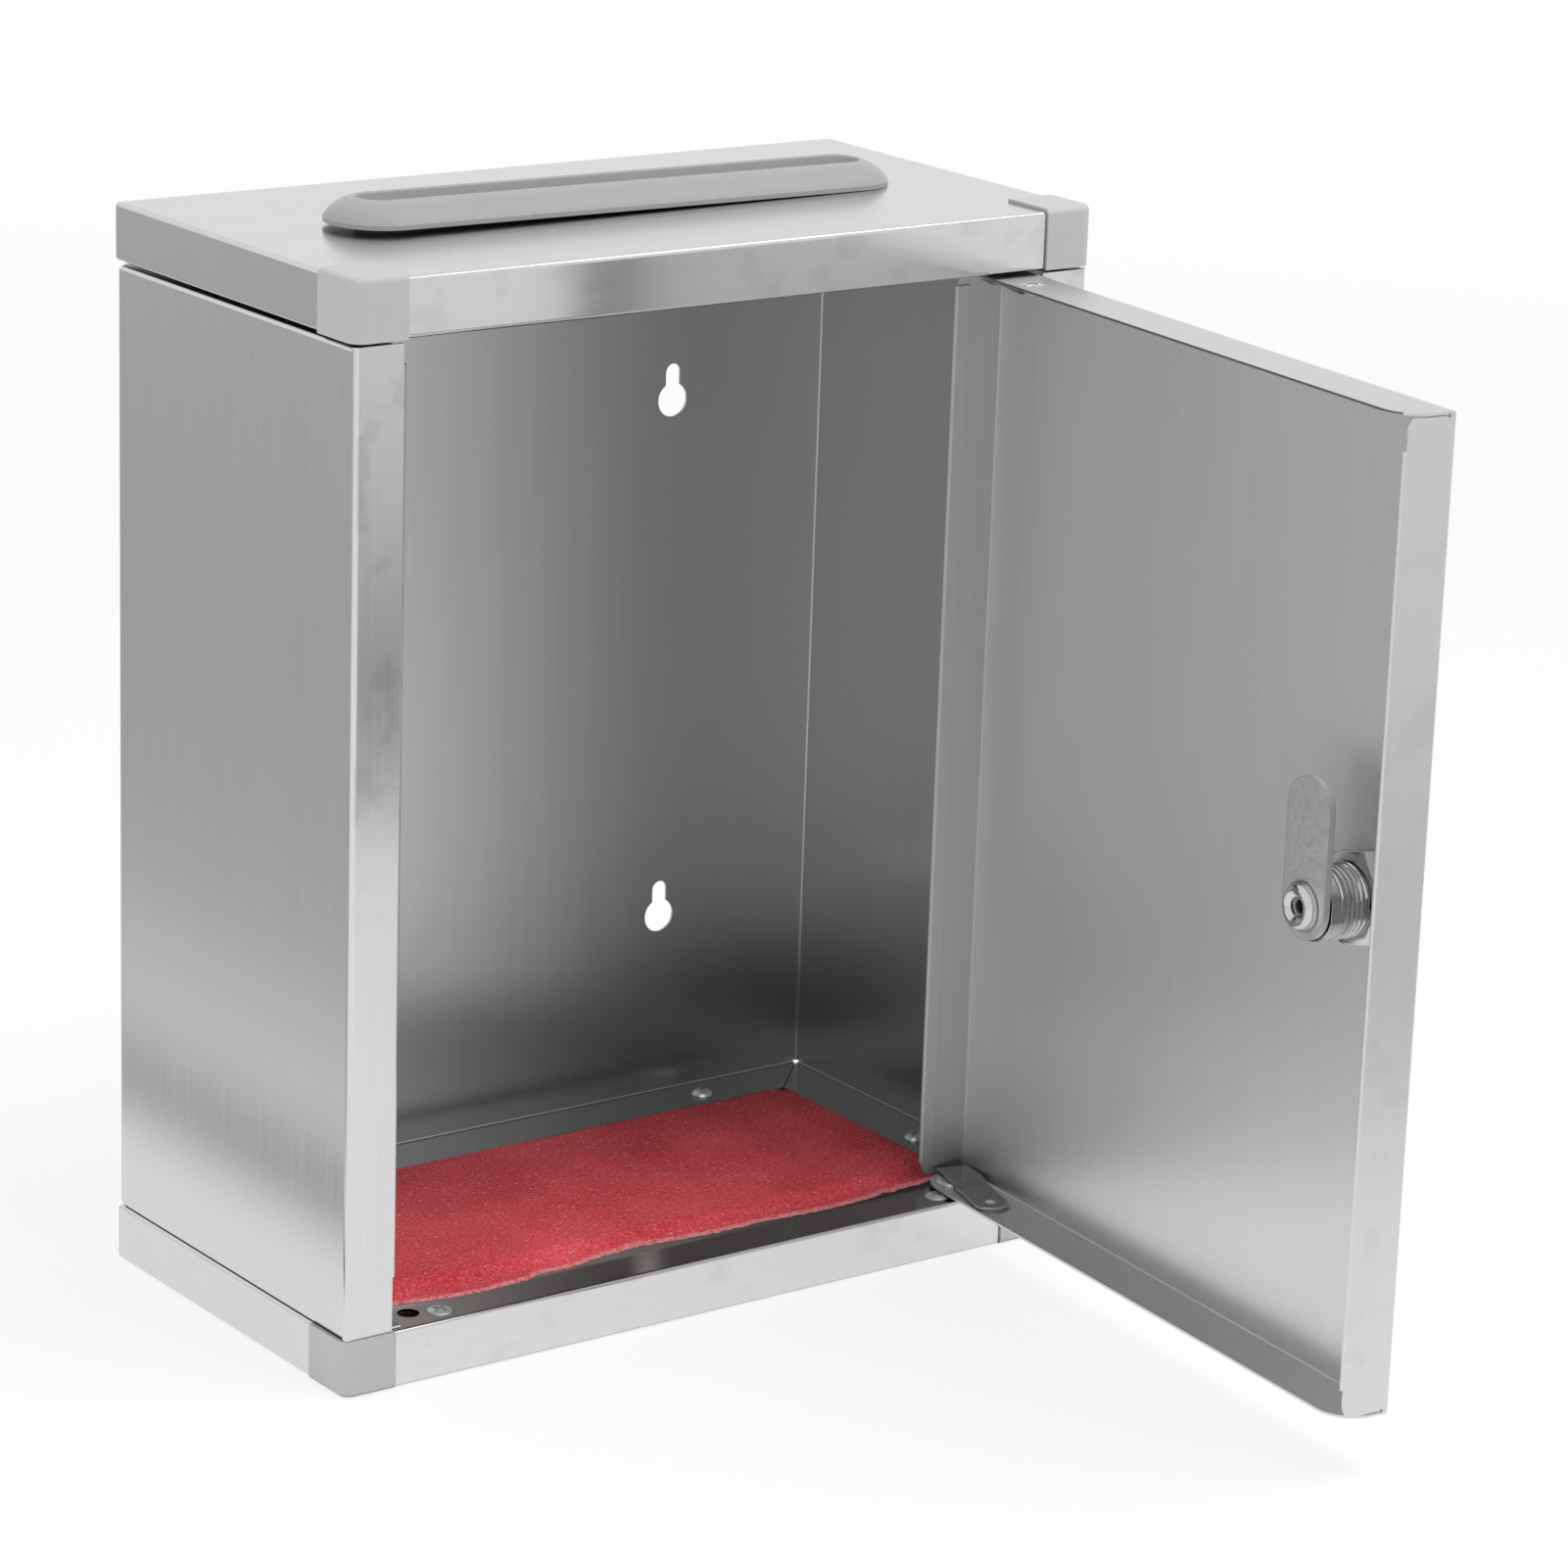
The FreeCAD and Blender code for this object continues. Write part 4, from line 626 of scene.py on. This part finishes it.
# hand-cut foam mat: thin torn front edge, thicker towards the back, lumpy all over; a wave is its height, its length
# and its seed, in mm
foamSheet = {"left": -97.6, "right": 97.0, "rear": 38.8, "cornerRadius": 8.0, "bottom": 16.03, "thick": 3.0,
             "thin": 0.85, "thinTo": -44.0, "thickFrom": -36.0, "hinge": (92.0, -51.0), "hingeRoom": 12.6,
             "hingeRise": 12, "columns": 200, "rows": 92, "crowdAcross": 0.02, "crowdAlong": 0.12,
             "front": ((-98, -43.6), (-92, -44.8), (-84, -46.7), (-74, -48.4), (-67, -48.8), (-56, -48.3),
                       (-44, -45.9), (-37, -46.3), (-24, -44.0), (-13, -42.9), (2, -44.4), (15, -45.4), (30, -45.1),
                       (44, -46.2), (56, -46.6), (66, -45.6), (73, -44.5), (83, -43.9), (91, -43.2), (98, -39.0)),
             "frontWaves": ((0.7, 3.5, 1), (0.5, 1.4, 2)), "rearWaves": ((0.5, 9, 3), (0.2, 2.2, 4)),
             "sideWaves": ((0.5, 6, 5), (0.25, 1.8, 6)), "lumps": ((0.16, 1.7, 7), (0.16, 6, 8)),
             "swells": ((0.25, 30, 9),), "leastLump": 0.35, "sideFrom": 0.9, "sideGain": 10, "leastRim": 0.3,
             "rimWidth": (0.5, 0.5), "tornRim": (0.3, 2.6), "weldMm": 0.0001}


def smoothStep(low, high, value):
    share = min(1.0, max(0.0, (value - low) / (high - low)))
    return share * share * (3 - 2 * share)


def alongPoints(points, at):
    for (x0, y0), (x1, y1) in zip(points, points[1:]):
        if at <= x1:
            return y0 + (y1 - y0) * smoothStep(x0, x1, at)
    return points[-1][1]


def waves(terms, x, y):
    return sum(high * noise.noise(Vector((x / size, y / size, seed))) for high, size, seed in terms)


def makeMat(sheet):
    columns, rows, radius, bottom = sheet["columns"], sheet["rows"], sheet["cornerRadius"], sheet["bottom"]
    bm = bmesh.new()
    rimLayer = bm.verts.layers.float.new("rim")
    top, low = [], []
    for i in range(columns + 1):
        across = i / columns
        crowded = across + sheet["crowdAcross"] * math.sin(2 * math.pi * across) / math.pi
        x = sheet["left"] + (sheet["right"] - sheet["left"]) * crowded
        inward = min(x - sheet["left"], sheet["right"] - x)
        dip = radius - math.sqrt(max(0.0, radius ** 2 - max(0.0, radius - inward) ** 2))
        front = alongPoints(sheet["front"], x) + waves(sheet["frontWaves"], x, 0)
        rear = sheet["rear"] - dip + waves(sheet["rearWaves"], x, 0)
        sideShare = max(0.0, abs(2 * across - 1) - sheet["sideFrom"]) * sheet["sideGain"]
        topRow, lowRow = [], []
        for j in range(rows + 1):
            share = j / rows
            share -= sheet["crowdAlong"] * math.sin(2 * math.pi * share) / (2 * math.pi)
            y = front + (rear - front) * share
            xHere = x + waves(sheet["sideWaves"], 0, y) * sideShare
            edge = min(y - front, rear - y, inward)
            away = math.hypot(xHere - sheet["hinge"][0], y - sheet["hinge"][1])
            rise = min(smoothStep(sheet["thinTo"], sheet["thickFrom"], y),
                       smoothStep(sheet["hingeRoom"], sheet["hingeRoom"] + sheet["hingeRise"], away))
            thick = sheet["thin"] + (sheet["thick"] - sheet["thin"]) * rise
            lumps = waves(sheet["lumps"], xHere, y) + rise * waves(sheet["swells"], xHere, y)
            lumps *= min(1.0, sheet["leastLump"] + rise)
            rounded = min(1.0, edge / (sheet["rimWidth"][0] + sheet["rimWidth"][1] * thick))
            rim = sheet["leastRim"] + (1 - sheet["leastRim"]) * math.sqrt(max(0.0, 1 - (1 - rounded) ** 2))
            for row, z in ((topRow, bottom + thick * rim + lumps * rim), (lowRow, bottom)):
                row.append(bm.verts.new((xHere * mm, y * mm, z * mm)))
                row[-1][rimLayer] = 1 - smoothStep(*sheet["tornRim"], edge)
        top.append(topRow)
        low.append(lowRow)
    for i in range(columns):
        for j in range(rows):
            bm.faces.new((top[i][j], top[i + 1][j], top[i + 1][j + 1], top[i][j + 1]))
            bm.faces.new((low[i][j], low[i][j + 1], low[i + 1][j + 1], low[i + 1][j]))
    for i in range(columns):
        bm.faces.new((top[i][0], low[i][0], low[i + 1][0], top[i + 1][0]))
        bm.faces.new((top[i][rows], top[i + 1][rows], low[i + 1][rows], low[i][rows]))
    for j in range(rows):
        bm.faces.new((top[0][j], top[0][j + 1], low[0][j + 1], low[0][j]))
        bm.faces.new((top[columns][j], low[columns][j], low[columns][j + 1], top[columns][j + 1]))
    bmesh.ops.remove_doubles(bm, verts=bm.verts, dist=sheet["weldMm"] * mm)
    bmesh.ops.recalc_face_normals(bm, faces=bm.faces)
    for face in bm.faces:
        face.smooth = True
    mesh = bpy.data.meshes.new("foamMat")
    bm.to_mesh(mesh)
    bm.free()
    mesh.materials.append(redFoam)
    piece = bpy.data.objects.new("foamMat", mesh)
    scene.collection.objects.link(piece)
    piece.visible_glossy = False
    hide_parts("foam_mat")
    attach(piece, "case")
    print("foamMat", len(mesh.polygons), "faces")


makeMat(foamSheet)

# floor, world and lamps
stageLook = {"floorColour": "#fafafa", "floorRadius": 2.2, "floorSides": 96, "floorDrop": 0.0002,
             "fade": (0.9, 2.1), "worldLight": 0.64, "skyGlow": 0.9, "floorGlow": 0.82,
             "lamps": {"softbox": {"size": (0.8, 0.6), "watts": 12, "spot": (0.3, -0.54, 1.58),
                                   "aim": (-0.03, -0.03, 0.08)},
                       "leftFill": {"size": (0.6, 0.6), "watts": 2.2, "spot": (-1.3, 0.1, 0.5),
                                    "aim": (-0.1, 0, 0.15)}}}


def makeStage(look):
    mesh = bpy.data.meshes.new("floor")
    bm = bmesh.new()
    bmesh.ops.create_circle(bm, cap_ends=True, radius=look["floorRadius"], segments=look["floorSides"])
    bm.to_mesh(mesh)
    bm.free()
    floor = bpy.data.objects.new("floor", mesh)
    scene.collection.objects.link(floor)
    floor.location.z = -look["floorDrop"]
    # matt paper that takes the shadow, mixed with plain white where it is seen or mirrored
    material, tree = newMaterial("paperFloor")
    away = addNode(tree, "VectorMath", {0: addNode(tree, "TexCoord").outputs["Object"]}, operation="LENGTH")
    fade = addNode(tree, "MapRange", {"Value": away, "From": look["fade"]}, interpolation_type="SMOOTHSTEP")
    path = addNode(tree, "LightPath").outputs
    straight = addNode(tree, "Math", {0: path["Is Camera Ray"], 1: path["Is Transmission Ray"]}, operation="MAXIMUM")
    seen = addNode(tree, "Math", {0: straight, 1: path["Is Glossy Ray"]}, operation="MAXIMUM")
    share = addNode(tree, "Math", {0: seen, 1: look["floorGlow"]}, operation="MULTIPLY")
    matt = addNode(tree, "BsdfDiffuse", {"Color": look["floorColour"]})
    white = addNode(tree, "Emission", {"Strength": 1.0})
    paper = addNode(tree, "MixShader", {0: share, 1: matt, 2: white})
    clear = addNode(tree, "BsdfTransparent")
    both = addNode(tree, "MixShader", {0: fade, 1: paper, 2: clear})
    addNode(tree, "OutputMaterial", {"Surface": both})
    mesh.materials.append(material)

    world = bpy.data.worlds.new("studio")
    scene.world = world
    world.use_nodes = True
    tree = world.node_tree
    tree.nodes.clear()
    path = addNode(tree, "LightPath").outputs
    seen = addNode(tree, "Math", {0: path["Is Camera Ray"], 1: path["Is Transmission Ray"]}, operation="MAXIMUM")
    mirrored = addNode(tree, "Math", {0: path["Is Glossy Ray"], 1: look["skyGlow"]}, operation="MULTIPLY")
    brighter = addNode(tree, "Math", {0: seen, 1: mirrored}, operation="MAXIMUM")
    level = addNode(tree, "Math", {0: brighter, 1: look["worldLight"]}, operation="MAXIMUM")
    sky = addNode(tree, "Background", {"Color": (1, 1, 1, 1), "Strength": level})
    addNode(tree, "OutputWorld", {"Surface": sky})

    for name, lamp in look["lamps"].items():
        data = bpy.data.lights.new(name, "AREA")
        data.shape = "RECTANGLE"
        data.size, data.size_y = lamp["size"]
        data.energy = lamp["watts"]
        made = bpy.data.objects.new(name, data)
        made.location = lamp["spot"]
        made.rotation_euler = (Vector(lamp["aim"]) - made.location).to_track_quat("-Z", "Y").to_euler()
        made.visible_glossy = False
        scene.collection.objects.link(made)


def addCard(name, corners, material):
    mesh = bpy.data.meshes.new(name)
    mesh.from_pydata(corners, [], [(0, 1, 2, 3)])
    mesh.materials.append(material)
    made = bpy.data.objects.new(name, mesh)
    scene.collection.objects.link(made)
    made.visible_camera = made.visible_diffuse = made.visible_shadow = made.visible_transmission = False


# grey studio ground beyond the white paper, which only the metal shows, and a painted reflection of the lit and shaded
# mat in
# the low walls, lighter at the left: place across the card in metres with its level, and place along it with the share
# of the card that shows
groundCards = {
    "cardLeft": {"corners": ((-1.4, -0.05), (-0.155, 1.8)), "height": 0.0004, "axis": 0, "levels": (
        (-0.155, 1.0), (-0.181, 0.98), (-0.194, 0.08), (-0.211, 0.06), (-0.223, 0.92), (-0.252, 0.9), (-0.275, 0.58),
        (-0.32, 0.47), (-0.45, 0.45), (-0.7, 0.47), (-1.4, 0.5)), "shares": ()},
    "cardFront": {"corners": ((0.02, -1.8), (1.3, -0.46)), "height": 0.0004, "axis": 1, "levels": (
        (-0.46, 1.0), (-0.51, 0.6), (-0.57, 0.2), (-0.64, 0.24), (-0.74, 0.33), (-0.92, 0.4), (-1.13, 0.45),
        (-1.8, 0.45)), "shares": (
        (0.02, 0.0), (0.17, 1.0), (0.26, 1.0), (0.36, 0.95), (0.44, 0.55), (0.49, 0.2), (0.53, 0.2), (0.57, 0.5),
        (0.66, 0.1), (0.8, 0.15), (1.3, 0.2))},
    "matShade": {"corners": ((-0.097, -0.044), (0.097, 0.038)), "height": 0.0175, "axis": 0, "levels": (
        (-0.097, 0.5), (-0.02, 0.38), (0.02, 0.2), (0.06, 0.08), (0.097, 0.05)), "shares": ()},
}


def makeGroundCard(name, card):
    material, tree = newMaterial(name + "Paint")
    parts = addNode(tree, "SeparateXYZ", {0: addNode(tree, "TexCoord").outputs["Object"]})
    ramps = []
    for axis, stops in ((card["axis"], card["levels"]), (1 - card["axis"], card["shares"])):
        if not stops:
            continue
        low, high = min(stops)[0], max(stops)[0]
        along = addNode(tree, "MapRange", {"Value": parts.outputs[axis], "From": (low, high)})
        ramps.append(addNode(tree, "ValToRGB", {0: along}))
        elements = ramps[-1].color_ramp.elements
        while len(elements) < len(stops):
            elements.new(0.5)
        for element, (spot, level) in zip(elements, sorted(stops)):
            element.position = (spot - low) / (high - low)
            element.color = (level, level, level, 1)
    tone = ramps[0]
    if card["shares"]:
        tone = addNode(tree, "Mix", {"Factor": ramps[1], "A": (1, 1, 1, 1), "B": ramps[0]}, data_type="RGBA")
    glow = addNode(tree, "Emission", {"Color": tone, "Strength": 1.0})
    addNode(tree, "OutputMaterial", {"Surface": glow})
    (x0, y0), (x1, y1) = card["corners"]
    z = card["height"]
    addCard(name, [(x0, y0, z), (x1, y0, z), (x1, y1, z), (x0, y1, z)], material)


# cards that only the metal shows, glowing to one side: painted highlights and reflections, which light nothing
glowCards = {"overheadCard": {"spot": (0.78, -0.42, 1.35), "aim": (0, -0.06, 0.3), "size": (0.5, 0.34), "level": 1.8},
             "mouthCard": {"spot": (-0.02, -0.05, 0.16), "aim": (-0.02, 0.06, 0.16), "size": (0.09, 0.22),
                           "level": 0.42}}


def makeGlowCard(name, card):
    material, tree = newMaterial(name + "Glow")
    back = addNode(tree, "NewGeometry").outputs["Backfacing"]
    level = addNode(tree, "MapRange", {"Value": back, "To": (card["level"], 0.0)})
    glow = addNode(tree, "Emission", {"Strength": level})
    clear = addNode(tree, "BsdfTransparent")
    addNode(tree, "OutputMaterial", {"Surface": addNode(tree, "AddShader", {0: glow, 1: clear})})
    spot, (across, along) = Vector(card["spot"]), card["size"]
    turn = (Vector(card["aim"]) - spot).to_track_quat("Z", "Y")
    flat = [(-across, -along, 0), (across, -along, 0), (across, along, 0), (-across, along, 0)]
    addCard(name, [spot + turn @ (Vector(corner) / 2) for corner in flat], material)


makeStage(stageLook)
for name, card in groundCards.items():
    makeGroundCard(name, card)
for name, card in glowCards.items():
    makeGlowCard(name, card)
scene.view_settings.view_transform = "Standard"
print("stage lit")
